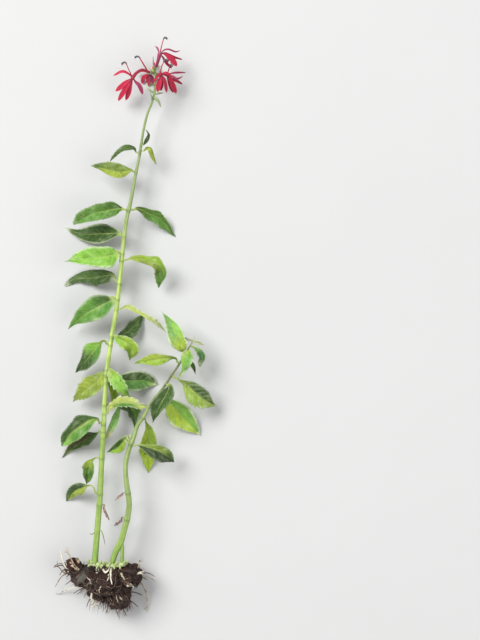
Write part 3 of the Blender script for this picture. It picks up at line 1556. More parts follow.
    def _drape(self, x: float, y: float, radius: float) -> Vector:
        """The place over a point of the plan where a root would lie on the ball."""
        hit = self.tree.ray_cast(Vector((x, y, 90.0)) * MM, Vector((0, 0, -1)))[0]
        if hit is None:
            hit = self.tree.find_nearest(Vector((x, y, 30.0)) * MM)[0]
        return Vector((x, y, max(1.0, hit.z / MM + radius * 0.9 + self.pale_lift)))

    @staticmethod
    def _root(
        form: Form, path: Rows, radius: float, tip: float, tone: Tone, sides: int, rings: int
    ) -> None:
        """Adds one root, soiled and tapering to a share of its radius at the tip."""
        spine = Spine(path, 5)
        clean, soil = tone.linear, Tone.BARK.linear

        def colour(turn: float, share: float) -> Colour:
            """The tint, soiled in patches and where the root leaves the ball."""
            mark = ramp(noise.noise(spine.at(share)[0] / 2.2), 0.1, 0.5)
            return blend(clean, soil, mark * 0.6 + 0.3 * (1 - ramp(share, 0.0, 0.2)))

        def size(share: float) -> float:
            """The knotty radius at a share of the length."""
            knot = 0.12 * noise.noise(spine.at(share)[0] / 1.5)
            return radius * (1 - (1 - tip) * share + knot) * (1 - 0.8 * ramp(share, 0.93, 1.0))

        form.thread(spine, size, colour, sides, rings)


@dataclass
class Studio:
    """The pale floor, the soft lights and the camera that looks straight down.

    Each light has its name, its place, its size and its power.
    """

    floor_size: float = 12.0
    floor_tones: tuple[Colour, Colour] = ((0.56, 0.56, 0.55), (0.60, 0.60, 0.59))
    lights: tuple[tuple[str, Triple, float, float], ...] = (
        ("key", (-2.2, 1.9, 3.4), 2.2, 235.0), ("fill", (2.6, -0.6, 2.8), 3.0, 60.0),
    )
    sky: Colour = (0.95, 0.97, 1.0)
    sky_strength: float = 0.42
    camera_place: Triple = (0.1055, 0.010, 1.536)
    lens: float = 85.0
    sensor: float = 36.0

    def build(self) -> None:
        """Sets up the floor, the lights, the surround and the camera."""
        self._floor()
        for name, place, size, power in self.lights:
            self._light(name, place, size, power)
        self._surround()
        data = bpy.data.cameras.new("camera")
        data.lens = self.lens
        data.sensor_width = self.sensor
        camera = stand("camera", data)
        camera.location = self.camera_place
        bpy.context.scene.camera = camera
        bpy.context.scene.view_settings.view_transform = "Standard"

    def _floor(self) -> None:
        """Adds the plain pale floor."""
        work = bmesh.new()
        bmesh.ops.create_grid(work, x_segments=1, y_segments=1, size=self.floor_size / 2)
        data = bpy.data.meshes.new("floor")
        work.to_mesh(data)
        work.free()
        finish = Finish("floor", roughness=0.9, specular=0.1)
        made, nodes, shader = finish.start()
        dim, bright = ((*tone, 1.0) for tone in self.floor_tones)
        tone = nodes.mix(nodes.noise(nodes.place(), 3.0), dim, bright)
        nodes.feed(shader, {"Base Color": tone, "Roughness": finish.roughness})
        data.materials.append(made)
        stand("floor", data)

    @staticmethod
    def _light(name: str, place: Triple, size: float, power: float) -> None:
        """Adds a square soft light that faces the plant's middle."""
        data = bpy.data.lights.new(name, "AREA")
        data.size = size
        data.energy = power
        light = stand(name, data)
        light.location = place
        light.rotation_euler = (-Vector(place)).to_track_quat("-Z", "Y").to_euler()

    def _surround(self) -> None:
        """Sets a plain even light from all round."""
        world = bpy.data.worlds.new("surround")
        world.use_nodes = True
        background = world.node_tree.nodes["Background"]
        background.inputs["Color"].default_value = (*self.sky, 1.0)
        background.inputs["Strength"].default_value = self.sky_strength
        bpy.context.scene.world = world


MAIN_LEAVES: tuple[Leaf, ...] = named("leaf_main_{:02d}", (
    Leaf(Kind.MID, 185.5, ((13.2, 189.5, 27), (15.2, 194.5, 30), (11.8, 199.5, 32)),
        (1, 2, 2.8, 3, 2.8, 2.4, 1.8, 1.2, 0.6), (0.6, 0.9, 1.2, 1.2, 1, 0.7, 0.5, 0.4, 0.3),
        tones("SLATE SLATE SAGE"), tones("SLATE SLATE SLATE")),
    Leaf(Kind.LIGHT, 179.5, ((12.5, 182, 26), (17, 181, 27), (19.3, 174, 24), (21.5, 166, 20)),
        (0.8, 1.2, 1, 0.6, 0.4, 0.4, 0.3, 0.3, 0.2), (0.8, 2, 4, 4.6, 4.2, 4, 3.4, 2.6, 1.2),
        tones("STRAW STRAW LIME"), tones("STRAW STRAW LIME")),
    Leaf(Kind.MID, 177, ((-1, 181.8, 26), (-11, 179.5, 29), (-24.5, 169, 24)),
        (1, 2, 2.6, 2.2, 1.2, 0.8, 0.6, 0.5, 0.4), (0.8, 1.8, 3.4, 4.2, 3.9, 3.7, 3.5, 2.6, 1.8),
        tones("SLATE SAGE SAGE"), tones("SLATE SAGE SAGE"), roll=(20, 20)),
    Leaf(Kind.LIGHT, 158, ((-3, 159.5, 26), (-15.5, 157.5, 28), (-30, 161, 27), (-43.5, 164.5, 22)),
        (1, 3.8, 5.8, 6.6, 5.8, 4.8, 3.3, 1.8, 1.2), (1.8, 5.6, 8.4, 9.2, 8.8, 8.4, 6.4, 5, 2.8),
        tones("STRAW STRAW OLIVE"), tones("KHAKI OLIVE SAGE"), tip_power=0.7, pale_tip=0.4),
    Leaf(Kind.MID, 119.5,
        ((-16.5, 121, 27), (-29.5, 118.5, 31), (-45, 114, 32), (-60.5, 105.5, 28)),
        (2.5, 6.5, 7.8, 8.2, 8, 7.6, 6.4, 4.6, 2.4), (2.4, 7.4, 8.6, 8.2, 9, 8.2, 8, 7.6, 5.6),
        tones("LEAF GRASS GRASS"), tones("FOREST LEAF LEAF"), tip_power=0.5, folds=(8, 16),
        wave=1.2, pale_tip=0.35),
    Leaf(Kind.MID, 121, ((3.5, 121.5, 23), (13.5, 117.5, 17), (26, 111, 9), (39.9, 95, 0.4)),
        (1.6, 3.2, 4.2, 5.2, 6.6, 4.8, 4.2, 3.2, 0.8), (1.6, 3.6, 6.4, 7, 7, 6.8, 6.6, 4.2, 2.4),
        tones("MOSS LEAF LEAF"), tones("MOSS GRASS LEAF"), wave=1.2),
    Leaf(Kind.DARK, 94, ((-18.5, 96.5, 21), (-36.5, 97, 10), (-54.5, 97.5, 3), (-71.5, 104, 0.4)),
        (2.6, 6, 8.8, 10.2, 10.2, 9, 6.8, 4.8, 3), (4.2, 7.8, 9.8, 10.6, 9.8, 8.2, 6.2, 3.2, 1.2),
        tones("DEEP DEEP SAGE"), tones("DEEP FERN FERN"), tooth_depth=0.03, pale_tip=0.9, rim=0.6),
    Leaf(Kind.LIGHT, 77, ((-19.5, 75.5, 29), (-32, 72.5, 35), (-47, 71, 36), (-70, 68.3, 30)),
        (6.8, 12.2, 11.8, 10.2, 8.8, 7, 5.4, 3.2, 0.9),
        (6.6, 9.4, 10.4, 11.2, 11.4, 10.2, 8.8, 6, 1.5), tones("BRIGHT BRIGHT BRIGHT"),
        tones("BRIGHT BRIGHT MILK"), folds=(10, 12), rim=0.8, turns=(0.25, 0.9), tip_power=1.5,
        pale_tip=0.9),
    Leaf(Kind.DARK, 47,
        ((-21.5, 54.5, 23), (-29.5, 54.5, 17), (-42.5, 52.5, 8), (-58.5, 51.5, 2),
         (-72.5, 44.5, 0.4)), (1.4, 6.6, 8.4, 8, 8.4, 5.8, 5, 3, 2.2),
        (1, 4, 6.6, 7.8, 8.8, 8.4, 7, 5, 3.6), tones("PALE FERN SAGE"), tones("STALK SAGE SAGE"),
        tip_power=0.5, turns=(0.12, 0.9), pale_tip=0.8),
    Leaf(Kind.LIGHT, 70,
        ((-0.5, 72, 28), (12, 69.5, 31), (23, 65, 29), (27.5, 57, 22), (23.7, 42.3, 14)),
        (1.2, 3, 4.2, 5, 7.8, 5, 4.6, 3.6, 1.6), (1.2, 3.8, 4, 4.4, 4.9, 6.6, 8, 7.6, 4.4),
        tones("STRAW LIME GRASS"), tones("STRAW KHAKI LEAF"), turns=(0.2, 0.66), folds=(16, 6)),
    Leaf(Kind.MID, 31.5, ((-24.5, 29, 27), (-36.5, 22.5, 27), (-49.5, 15.5, 24), (-67.1, 1, 16)),
        (6, 9.6, 11.8, 12, 10.8, 9.2, 6.6, 2.6, 0.8),
        (6.4, 10.6, 12.6, 12.8, 11.6, 9.4, 7.6, 5.2, 3.2), tones("JADE GRASS GRASS"),
        tones("FERN GRASS GRASS"), folds=(8, 14), rim=0.5),
    Leaf(Kind.LIGHT, 21.5, ((-6.5, 23.5, 30), (3, 20, 35), (17.5, 11.5, 35), (31.2, -1.6, 27)),
        (1.2, 2.2, 2.8, 1.8, 1.6, 2.2, 3.2, 2.4, 1.2), (1.4, 2.8, 3.2, 3.2, 3, 3.2, 2.6, 2.4, 1.2),
        tones("CREAM MILK CREAM"), tones("CREAM BUTTER MILK"), roll=(6, 6), folds=(24, 4), wave=1.2,
        rim=0.7, pale_tip=0.5),
    Leaf(Kind.DARK, -8, ((-15.5, -6, 20), (-6.5, -1, 10), (1, 7, 4), (8, 18, 0.4)),
        (1, 3, 4.6, 5.6, 6.4, 7, 5.8, 3.8, 1.4), (1, 4, 6.5, 8, 8.4, 7, 6, 3.6, 2.4),
        tones("FERN FERN SAGE"), tones("FERN FERN FERN"), tooth_depth=0.03),
    Leaf(Kind.LIGHT, -5.5, ((-16.5, -8.5, 30), (-8.5, -12, 34), (-3, -18.5, 31), (-5.3, -30.3, 21)),
        (3, 4.2, 5.4, 6.6, 7.2, 8.4, 7.2, 4.8, 2), (3, 5, 7, 7.4, 6.8, 6, 4.4, 2.8, 1.2),
        tones("LIME LIME KHAKI"), tones("BRIGHT LIME GRASS"), wave=2, folds=(22, 12), rim=0.6),
    Leaf(Kind.MID, -14.5,
        ((-30, -10, 31), (-35.5, -15.5, 32), (-43, -24, 27), (-51, -33, 20), (-60, -43, 12)),
        (0.7, 1.4, 5.5, 8.2, 9.2, 8.6, 8.2, 6, 2.4), (0.7, 2, 8.2, 11.4, 9.8, 7.4, 5.6, 4.2, 2.6),
        tones("LIME GRASS FERN"), tones("STALK BRIGHT FERN"), turns=(0.2, 0.5), roll=(-10, 12),
        tooth_depth=0.1),
    Leaf(Kind.LIGHT, -44,
        ((-35.5, -49, 26), (-42.5, -55.5, 25), (-51.5, -62.5, 21), (-62.5, -72, 14)),
        (5, 8, 9.4, 9.8, 9.6, 8.6, 7, 4.2, 1.6), (5.5, 8.2, 10.6, 11.4, 10.8, 9.6, 7.6, 5.4, 3.2),
        tones("STRAW KHAKI KHAKI"), tones("KHAKI STRAW KHAKI"), tooth_depth=0.15, folds=(6, 12),
        pale_tip=0.3),
    Leaf(Kind.LIGHT, -39, ((-22.5, -43, 33), (-17, -50, 38), (-11.5, -58, 38), (-4.5, -67, 32)),
        (3, 5.2, 6.2, 7.2, 7.4, 7, 6.2, 4.4, 2.4), (3, 5, 6.4, 7.2, 7.2, 6.6, 5.2, 3.4, 1.8),
        tones("LIME BRIGHT JADE"), tones("STALK BRIGHT LIME"), tooth_depth=0.22, tooth_pitch=4,
        wave=1.6, rim=0.8),
    Leaf(Kind.LIGHT, -52, ((-24.5, -56.5, 17), (-22.5, -63, 11), (-24, -72.5, 5)),
        (0.8, 1.8, 3.4, 4.8, 5.6, 5.8, 5.2, 3.8, 2), (0.8, 1.6, 2.4, 3, 3.2, 3, 2.6, 2, 1),
        tones("LEMON LIME LIME"), tones("LIME LEMON LEMON"), tip_power=0.6),
    Leaf(Kind.DARK, -46, ((-17, -50, 20), (-3, -51.5, 12), (9.5, -51.5, 4), (22.5, -55.5, 0.4)),
        (2, 4.5, 7.5, 9.6, 10.4, 10.3, 9.4, 8, 4.6), (2, 5, 8, 9.8, 10.4, 10, 9, 6.8, 3.8),
        tones("FERN DEEP FERN"), tones("LEAF JADE STALK"), folds=(6, 22), vein=0.25,
        turns=(0.25, 0.88), rim=1, pale_tip=0.8),
    Leaf(Kind.LIGHT, -82.5, ((-24, -77, 31), (-14.5, -72.5, 36), (-2.5, -73, 35), (14.5, -76, 29)),
        (1.4, 3.2, 4.4, 6, 7, 7.2, 6, 2.4, 1.4), (1.4, 3.4, 4.4, 4.4, 4, 4, 4.8, 5.4, 3.4),
        tones("CREAM CREAM MILK"), tones("CREAM GRASS CREAM"), folds=(38, 4), tooth_depth=0.3,
        tooth_pitch=4, wave=2.4, rim=1.1, roll=(-14, -14)),
    Leaf(Kind.DARK, -74.5, ((-17, -74.5, 21), (-6, -77.5, 14), (-1.5, -86, 6), (-1.7, -100, 0.4)),
        (1, 3, 5.5, 7.5, 9, 9.2, 5.4, 2.4, 1.3), (1, 3.5, 5, 5.5, 5.2, 5.6, 6, 3.4, 1.4),
        tones("FERN LEAF LEAF"), tones("FERN FERN FERN"), tooth_depth=0.03),
    Leaf(Kind.MID, -93.5,
        ((-36, -88.8, 32), (-41.5, -89, 32), (-52, -95.5, 29), (-63.5, -103.5, 23),
         (-74, -117, 14)),
        (0.8, 4, 6.6, 8.6, 9.8, 10.2, 9.2, 7.2, 4.6), (0.8, 3, 9, 12, 10.2, 8.4, 7.4, 7, 4.6),
        tones("LIME GRASS BRIGHT"), tones("LEAF DEEP FOREST"), folds=(20, 6), glow=1,
        turns=(0.2, 0.8), tip_power=0.8, pale_tip=0.3),
    Leaf(Kind.DARK, -101,
        ((-38.5, -104, 22), (-50.5, -111, 12), (-62.5, -118.5, 4), (-75.1, -129.6, 0.4)),
        (1, 3.2, 5.2, 6.6, 5.6, 4.6, 3.4, 1.4, 0.6), (1, 4.5, 6.5, 7.5, 7.5, 7, 6, 4.5, 2),
        tones("SAGE SAGE OLIVE"), tones("FERN UMBER SAGE"), turns=(0.3, 0.85)),
    Leaf(Kind.MID, -107, ((-25, -101.5, 23), (-20.5, -92, 19), (-17.5, -82, 14), (-15.5, -73, 10)),
        (2.2, 2.8, 3.4, 3.8, 4, 3.8, 3.2, 2.2, 1.2), (2.8, 3.6, 4, 4.2, 4, 3.6, 2.8, 2, 1),
        tones("STALK MINT BRIGHT"), tones("BLUSH MINT MINT"), rim=0.5, turns=(0.22, 0.76)),
    Leaf(Kind.MID, -127.5,
        ((-38.5, -127.5, 29), (-43.5, -131.5, 29), (-46, -141, 24), (-49, -154.5, 14)),
        (0.6, 1.6, 4.2, 5.2, 5.6, 5.6, 5.2, 4.4, 3), (0.6, 1.6, 5.2, 7, 5.8, 5.4, 4.4, 3.2, 1.6),
        tones("LIME GRASS KHAKI"), tones("STRAW LEAF JADE"), turns=(0.42, 0.85), folds=(10, 24)),
    Leaf(Kind.MID, -163,
        ((-41, -156, 28.5), (-46.5, -155.5, 26), (-54.5, -159, 19), (-63, -164, 9),
         (-70.7, -174, 0.4)), (0.5, 0.6, 1.4, 5, 6.6, 5.4, 5, 4.2, 2.4),
        (0.5, 0.6, 1.6, 5.6, 7.2, 7, 6.4, 5.6, 3.2), tones("STALK STRAW KHAKI"),
        tones("STALK SLATE SAGE"), turns=(0.28, 0.8), folds=(12, 16), tooth_depth=0.1),
))
SIDE_LEAVES: tuple[Leaf, ...] = named("leaf_side_{:02d}", (
    Leaf(Kind.LIGHT, -112,
        ((-4.5, -106, 35), (-9.5, -108.5, 34), (-16, -116.5, 28), (-27.5, -122.5, 20)),
        (0.8, 1.2, 2.4, 4.4, 6, 6.6, 6, 4.2, 2), (0.8, 1.4, 3.2, 4.4, 5.2, 5, 4.2, 2.8, 1.4),
        tones("STALK LIME BRIGHT"), tones("STALK FOREST FERN"), folds=(4, 34), rim=0.6),
    Leaf(Kind.LIGHT, -86.5, ((11.5, -92, 26), (13.5, -105, 17), (13, -122, 7), (12.3, -145, 0.4)),
        (0.9, 5, 7.2, 8.4, 9.2, 8.8, 7.8, 6.2, 3.4), (0.8, 1.8, 4.6, 7.4, 8.8, 10, 8.8, 6.4, 3.4),
        tones("KHAKI LIME LEMON"), tones("STRAW LEMON LEMON"), folds=(26, 22), turns=(0.2, 0.6),
        tooth_depth=0.14),
    Leaf(Kind.DARK, -113.5,
        ((5.5, -114.5, 35), (17.5, -117, 37), (28.5, -122, 33), (39.5, -132, 22)),
        (0.8, 1.6, 2.6, 4.2, 5.6, 6.4, 6.6, 5.6, 3), (0.8, 3.2, 6, 8.6, 9.8, 9.8, 8.6, 6.2, 3.2),
        tones("STALK KHAKI SAGE"), tones("FERN NIGHT NIGHT"), folds=(2, 20), turns=(0.2, 0.7),
        tooth_depth=0.03, glow=0.5),
    Leaf(Kind.DARK, -53.5, ((35, -57, 38), (32, -64, 42), (26, -75, 38), (18.5, -92, 28)),
        (3.6, 7, 8.4, 8.2, 6.8, 5, 3.4, 2.4, 1), (1.5, 3.6, 6.6, 7.6, 8.8, 9.4, 7.8, 5.2, 2.2),
        tones("FERN FOREST FOREST"), tones("SLATE FERN FERN"), tooth_depth=0.04),
    Leaf(Kind.MID, -66, ((31, -69.5, 24), (37.5, -75.5, 18), (47.5, -88, 9), (66, -107.5, 0.4)),
        (1, 3, 7.6, 11, 12, 11.2, 9.6, 7, 3.6), (1, 6, 10.4, 13.2, 14.2, 13.2, 10.2, 7.2, 2.8),
        tones("LEAF BRIGHT MINT"), tones("LIME LEMON LEMON"), folds=(22, 14), rim=1.2, vein=0.3,
        turns=(0.25, 0.85), tooth_depth=0.1, pale_tip=1),
    Leaf(Kind.MID, -45, ((43.5, -49, 31), (54.5, -57, 29), (66, -67.5, 24), (83, -77.3, 12)),
        (0.8, 3.2, 6.6, 9.4, 10.4, 10, 8.4, 4.6, 0.9), (0.6, 1.6, 6.6, 10.5, 12, 11.2, 9, 6, 2.4),
        tones("KHAKI FERN MOSS"), tones("STRAW LIME KHAKI"), folds=(18, 18), turns=(0.28, 0.66),
        tooth_depth=0.12, vein=0.5, glow=0.9, pale_tip=0.6),
    Leaf(Kind.LIGHT, -33.5, ((42, -28.5, 34), (33.5, -28, 34), (19.5, -29.8, 30), (0, -33.4, 22)),
        (0.7, 1, 3.9, 5.6, 6.5, 6, 3.8, 2.3, 1), (0.7, 2.3, 3.3, 4.6, 6.2, 6.4, 5.4, 3.8, 2.2),
        tones("OLIVE LIME LIME"), tones("OLIVE STRAW LIME"), tooth_depth=0.04),
    Leaf(Kind.LIGHT, -22, ((48, -17, 37), (43, -7, 41), (37, 5, 38), (27.7, 18, 30)),
        (5.2, 7.8, 9, 8.8, 7.8, 6.6, 5, 2.6, 0.8), (4, 6.6, 7.4, 8, 8, 6.4, 4.8, 3.4, 1.3),
        tones("LEMON MINT MINT"), tones("LEMON BRIGHT MINT"), folds=(12, 16), rim=1.1,
        turns=(0.33, 0.72), vein=0.35, tip_power=1.4, pale_tip=0.8),
    Leaf(Kind.LIGHT, -19.5, ((53.3, -23.5, 38), (52.5, -31, 43), (49, -40, 41), (44, -48.5, 37)),
        (3, 5.4, 6.2, 6, 5.3, 4.4, 3.2, 2, 0.9), (2.5, 5.4, 6.2, 6, 4.6, 2.8, 1.7, 1.3, 0.8),
        tones("BRIGHT MINT MILK"), tones("STALK BRIGHT STALK"), rim=0.5, tip_power=1.3),
    Leaf(Kind.MID, -15.5, ((60.5, -16.8, 31), (65.5, -21, 29), (67.5, -28, 24), (65, -36.8, 16)),
        (1.4, 2.2, 2.8, 3, 4.2, 3.8, 2.9, 2.4, 1.5), (1.6, 3.8, 4.8, 4.6, 3.8, 3, 3.4, 3.6, 2.5),
        tones("MILK TEAL MILK"), tones("MINT TEAL MILK"), rim=1.3, folds=(6, 12), tip_power=0.7,
        pale_tip=0.9),
    Leaf(Kind.DARK, -27, ((53.5, -30, 24), (58.5, -36, 16), (60.5, -44.5, 8)),
        (0.8, 1.4, 1.8, 1.9, 2, 1.9, 1.6, 1.1, 0.6), (0.8, 1.4, 1.8, 2.4, 2.6, 2.6, 2.2, 1.4, 0.7),
        tones("SAGE SAGE SAGE"), tones("SAGE SAGE SAGE"), tooth_depth=0.03),
    Leaf(Kind.LIGHT, -11, ((55.5, -10, 35), (52.5, -8.5, 37), (50, -7, 37)),
        (0.5, 0.7, 1, 1.2, 1.2, 1.1, 0.9, 0.7, 0.4), (0.5, 0.7, 1, 1.2, 1.2, 1.1, 0.9, 0.7, 0.4),
        tones("PALE MILK CREAM"), tones("PALE MILK BLUSH"), tooth_depth=0.03, thickness=0.36,
        pale_tip=0.4),
    Leaf(Kind.LIGHT, -10.5, ((61.5, -11.8, 31), (65, -13.2, 30), (69, -14.4, 28)),
        (0.5, 0.8, 1.2, 1.4, 1.5, 1.3, 1.1, 0.8, 0.5),
        (0.5, 0.8, 1.2, 1.5, 1.6, 1.5, 1.2, 0.9, 0.5), tones("PALE CREAM MILK"),
        tones("PALE MILK BLUSH"), tooth_depth=0.03, thickness=0.36, pale_tip=0.4),
))

# The first is on the main stem, the others on the side stem
WITHERED_LEAVES: tuple[Leaf, ...] = named("withered_leaf_{}", (
    WitheredLeaf(Kind.WITHERED, -174, ((-29.5, -178.5, 29), (-27, -184.5, 27), (-25.5, -190, 25)),
        (0.6, 1, 1.5, 1.8, 1.6, 1.2, 1.6, 1.2, 0.6), (0.6, 1.2, 1.6, 1.4, 1.8, 2, 1.5, 1, 0.5),
        tones("BLUSH SHRIVEL SHRIVEL"), tones("SHRIVEL BLUSH RUSSET"), roll=(40, 60)),
    WitheredLeaf(Kind.WITHERED, -161.5,
        ((-11.5, -164, 33), (-14.5, -166.5, 32), (-18.5, -169.5, 30)),
        (0.5, 0.9, 1.3, 1.6, 1.2, 1.5, 1.7, 1.2, 0.6), (0.5, 0.8, 1.4, 1.8, 2, 1.6, 1.2, 1, 0.5),
        tones("SHRIVEL BLUSH BLUSH"), tones("SHRIVEL SHRIVEL BLUSH"), roll=(30, 50)),
    WitheredLeaf(Kind.WITHERED, -188, ((-12.5, -190, 32), (-16, -192.5, 30), (-20, -195.5, 27)),
        (0.5, 0.9, 1.5, 1.2, 1.6, 1.9, 1.4, 0.9, 0.5), (0.5, 1, 1.3, 1.7, 1.3, 1, 1.6, 1.2, 0.6),
        tones("SHRIVEL RUSSET SHRIVEL"), tones("RUSSET SHRIVEL RUSSET"), roll=(40, 30)),
))

FLOWERS: tuple[Flower, ...] = (
    Flower(
        "left", 255.5, (17.5, 256.5, 26),
        ((15.5, 257.5, 26.5), (8, 259.5, 29), (2, 256, 29), (-2.3, 250.3, 28)),
        ((-1.6, 251.5, 28.5), (-4.5, 257.5, 33), (-7.1, 263.6, 37)),
        ((-7.6, 264.8, 37.9), (-8.9, 265.4, 38.2), (-10.6, 264.8, 37.7), (-12.1, 263.4, 36.5)),
        (
            Lobe(((-8, 247.5, 27), (-13.5, 243.5, 24), (-19.2, 239.6, 20)), 5.4),
            Lobe(((-7, 244, 26), (-11.5, 238, 22), (-17, 230.6, 16)), 5.6),
            Lobe(((-4.3, 243.5, 25.5), (-6, 238.5, 21.5), (-9.3, 231.2, 15.5)), 5.4, -8),
            Lobe(((-6.5, 256, 30), (-12.5, 257.6, 30), (-20.8, 254, 27)), 3.2, 25),
            Lobe(((1.6, 247.4, 27.5), (5.2, 243.8, 25.5), (8, 236.3, 20.5)), 4.6, -12, Tone.PLUM),
        ),
    ),
    Flower(
        "rear", 256.5, (17.5, 258, 20),
        ((16.2, 258.7, 17.5), (15, 259, 14), (13.3, 258.6, 10)),
        ((13, 259.6, 10.5), (9.5, 265.5, 14), (5.2, 272.4, 18)),
        ((4.5, 273.6, 18.6), (3.2, 274.5, 18.8), (1.4, 274.6, 18.2), (-0.5, 273.6, 17)),
        (
            Lobe(((16, 256, 8), (17.6, 252.5, 5), (18.3, 248.5, 2)), 4.6, tone=Tone.PLUM),
            Lobe(((12.6, 255, 7), (12.6, 252, 4), (13, 247.4, 1.2)), 5.2, tone=Tone.ROSE),
            Lobe(((8.8, 256, 7), (7.2, 254, 4), (6.2, 250, 1.2)), 4.8),
            Lobe(((9.5, 261.5, 9), (5, 262, 8), (0, 259.5, 5)), 3.2, 20),
            Lobe(((16.5, 262, 9), (18.5, 266, 8), (19, 271, 5)), 3, -30),
        ),
        column_radius=0.8,
    ),
    Flower(
        "top", 257.5, (21.2, 260.5, 25.5),
        ((21.7, 262.5, 26), (23.6, 268.5, 28), (25.6, 275.6, 29.5)),
        ((25.8, 276.4, 29.5), (27.5, 283, 32), (29.3, 289, 33.5)),
        ((29.8, 290.1, 33.9), (30.7, 290.7, 34.1), (31.9, 290.6, 33.6), (33.1, 289.5, 32.5)),
        (
            Lobe(((29.5, 278.8, 30), (34.5, 279.8, 30), (41, 277.8, 28), (45.6, 279.2, 26)), 2, 60,
                 Tone.PLUM),
            Lobe(((23.8, 279.6, 27), (22.3, 282.8, 24), (20.2, 284.8, 19)), 2.2, 60, Tone.PLUM),
            Lobe(((29.5, 275.8, 28), (36, 271.5, 25), (42.3, 264.8, 20)), 6.6, widest=0.68,
                 fullness=2.4),
            Lobe(((30.5, 276.6, 27), (38.5, 273.6, 23), (47.6, 271.8, 17)), 3.2, 66, Tone.CRIMSON),
            Lobe(((27.6, 273.5, 27), (31.5, 268, 22), (36.8, 263.3, 14)), 3.2, 20, Tone.CRIMSON),
        ),
        tube_radii=(1.4, 2.3), tube_tone=Tone.PLUM,
    ),
    Flower(
        "front", 254, (22, 253.8, 29),
        ((22.8, 253.8, 30.8), (25, 254.2, 34), (27.6, 253.8, 36.5)),
        ((26.6, 254.8, 36), (27.5, 259.5, 40), (29.9, 264.8, 43)),
        ((30.4, 266, 43.7), (31.4, 266.9, 44), (33.2, 266.8, 43.4), (35, 265.4, 42)),
        (
            Lobe(((26.4, 249.5, 35), (25, 244.5, 33), (23.2, 237.6, 29)), 5.8),
            Lobe(((27.9, 249, 34.6), (27.4, 243.8, 30.6), (26.2, 239.2, 25)), 3.8,
                 tone=Tone.CRIMSON),
            Lobe(((30.3, 249.5, 35), (31.5, 243.5, 32), (32.3, 237.2, 28)), 3.8, tone=Tone.CRIMSON),
            Lobe(((31.5, 255.4, 37), (35, 254, 36), (38.5, 250, 33)), 2.8, 40),
            Lobe(((23.8, 251.5, 37), (21.5, 248.8, 37), (19.5, 245.5, 34.5)), 2.8, -30),
        ),
    ),
    Flower(
        "right", 256, (23.5, 256.6, 23.5),
        ((25.4, 256.8, 22.8), (29, 256.6, 21), (33, 255.8, 19)),
        ((32.4, 256.9, 19.4), (34.2, 260.8, 23), (35.2, 263.5, 27)),
        ((35.5, 264.4, 28.2), (36.2, 264.5, 29.3), (37.3, 263.7, 29.8), (38.4, 262.3, 29.4)),
        (
            Lobe(((36, 250.5, 17), (38.3, 245.5, 13), (40.9, 239.3, 8)), 5.6),
            Lobe(((33.8, 250.2, 14.5), (35.4, 245.3, 8.5), (37.8, 240.4, 3.6)), 3.4,
                 tone=Tone.CRIMSON),
            Lobe(((38, 252.2, 16), (42.5, 250.8, 12), (47.3, 248.6, 7)), 3.4, 40, Tone.CRIMSON),
            Lobe(((37.5, 254.8, 20), (42.5, 251.8, 22), (48.2, 254.2, 22)), 2.6, 60, Tone.PLUM),
            Lobe(((38, 257.8, 20), (44, 258.2, 21), (51, 258.4, 19)), 2.4, 60, Tone.PLUM),
        ),
    ),
)

SPRIGS: tuple[Sprig, ...] = (
    Sprig(228.5, ((17, 233, 27), (15.8, 237.6, 28.5)), 0.7),
    Sprig(233, ((23.5, 229.5, 26), (26.4, 223.2, 25)), 1.3, Tone.STEM_TOP),
    Sprig(236, ((24.5, 237, 23), (28.4, 237.9, 20)), 0.8, Tone.MOSS),
    Sprig(237, ((13.5, 241, 27), (12.6, 246.6, 28)), 0.8, Tone.PALE),
    Sprig(245.5, ((16, 244.3, 28), (14.2, 243.6, 29)), 0.8, Tone.MOSS),
    Sprig(250.5, ((22.6, 250.6, 22), (25.2, 251.6, 18)), 0.9, Tone.MOSS),
    Sprig(257, ((18.2, 259.4, 28), (17.1, 260.8, 29.5)), 1.3, Tone.CREAM, 0.6),
    Sprig(257.5, ((19.2, 264, 29), (18.9, 272.5, 31)), 0.7, Tone.SHRIVEL),
    Sprig(256.5, ((22.6, 259.4, 31.5), (29, 264.2, 34.5)), 0.45, Tone.BLUSH),
)
# Dry threads low on the main stem
THREADS: tuple[Sprig, ...] = (
    Sprig(-197.5, ((-32.5, -200, 31.5), (-30.5, -206, 31), (-29, -214, 29.5)), 0.45, Tone.MAUVE),
    Sprig(-201, ((-39.6, -202, 31), (-42.5, -203.5, 31.5), (-44.3, -202, 32)), 0.45, Tone.MAUVE),
)
# Pale buds where the side stem's lowest leaves leave it
AXIL_BUDS: tuple[Sprig, ...] = (
    Sprig(-112, ((-5.4, -108.6, 35.6), (-7.4, -104.6, 36.6)), 0.8, Tone.PALE),
    Sprig(-110, ((-3.6, -106.4, 35.8), (-3, -102.8, 36.6)), 0.7, Tone.PALE),
    Sprig(-113.5, ((-6.8, -111.2, 35.6), (-9.4, -108.8, 36.2)), 0.6, Tone.PALE),
)

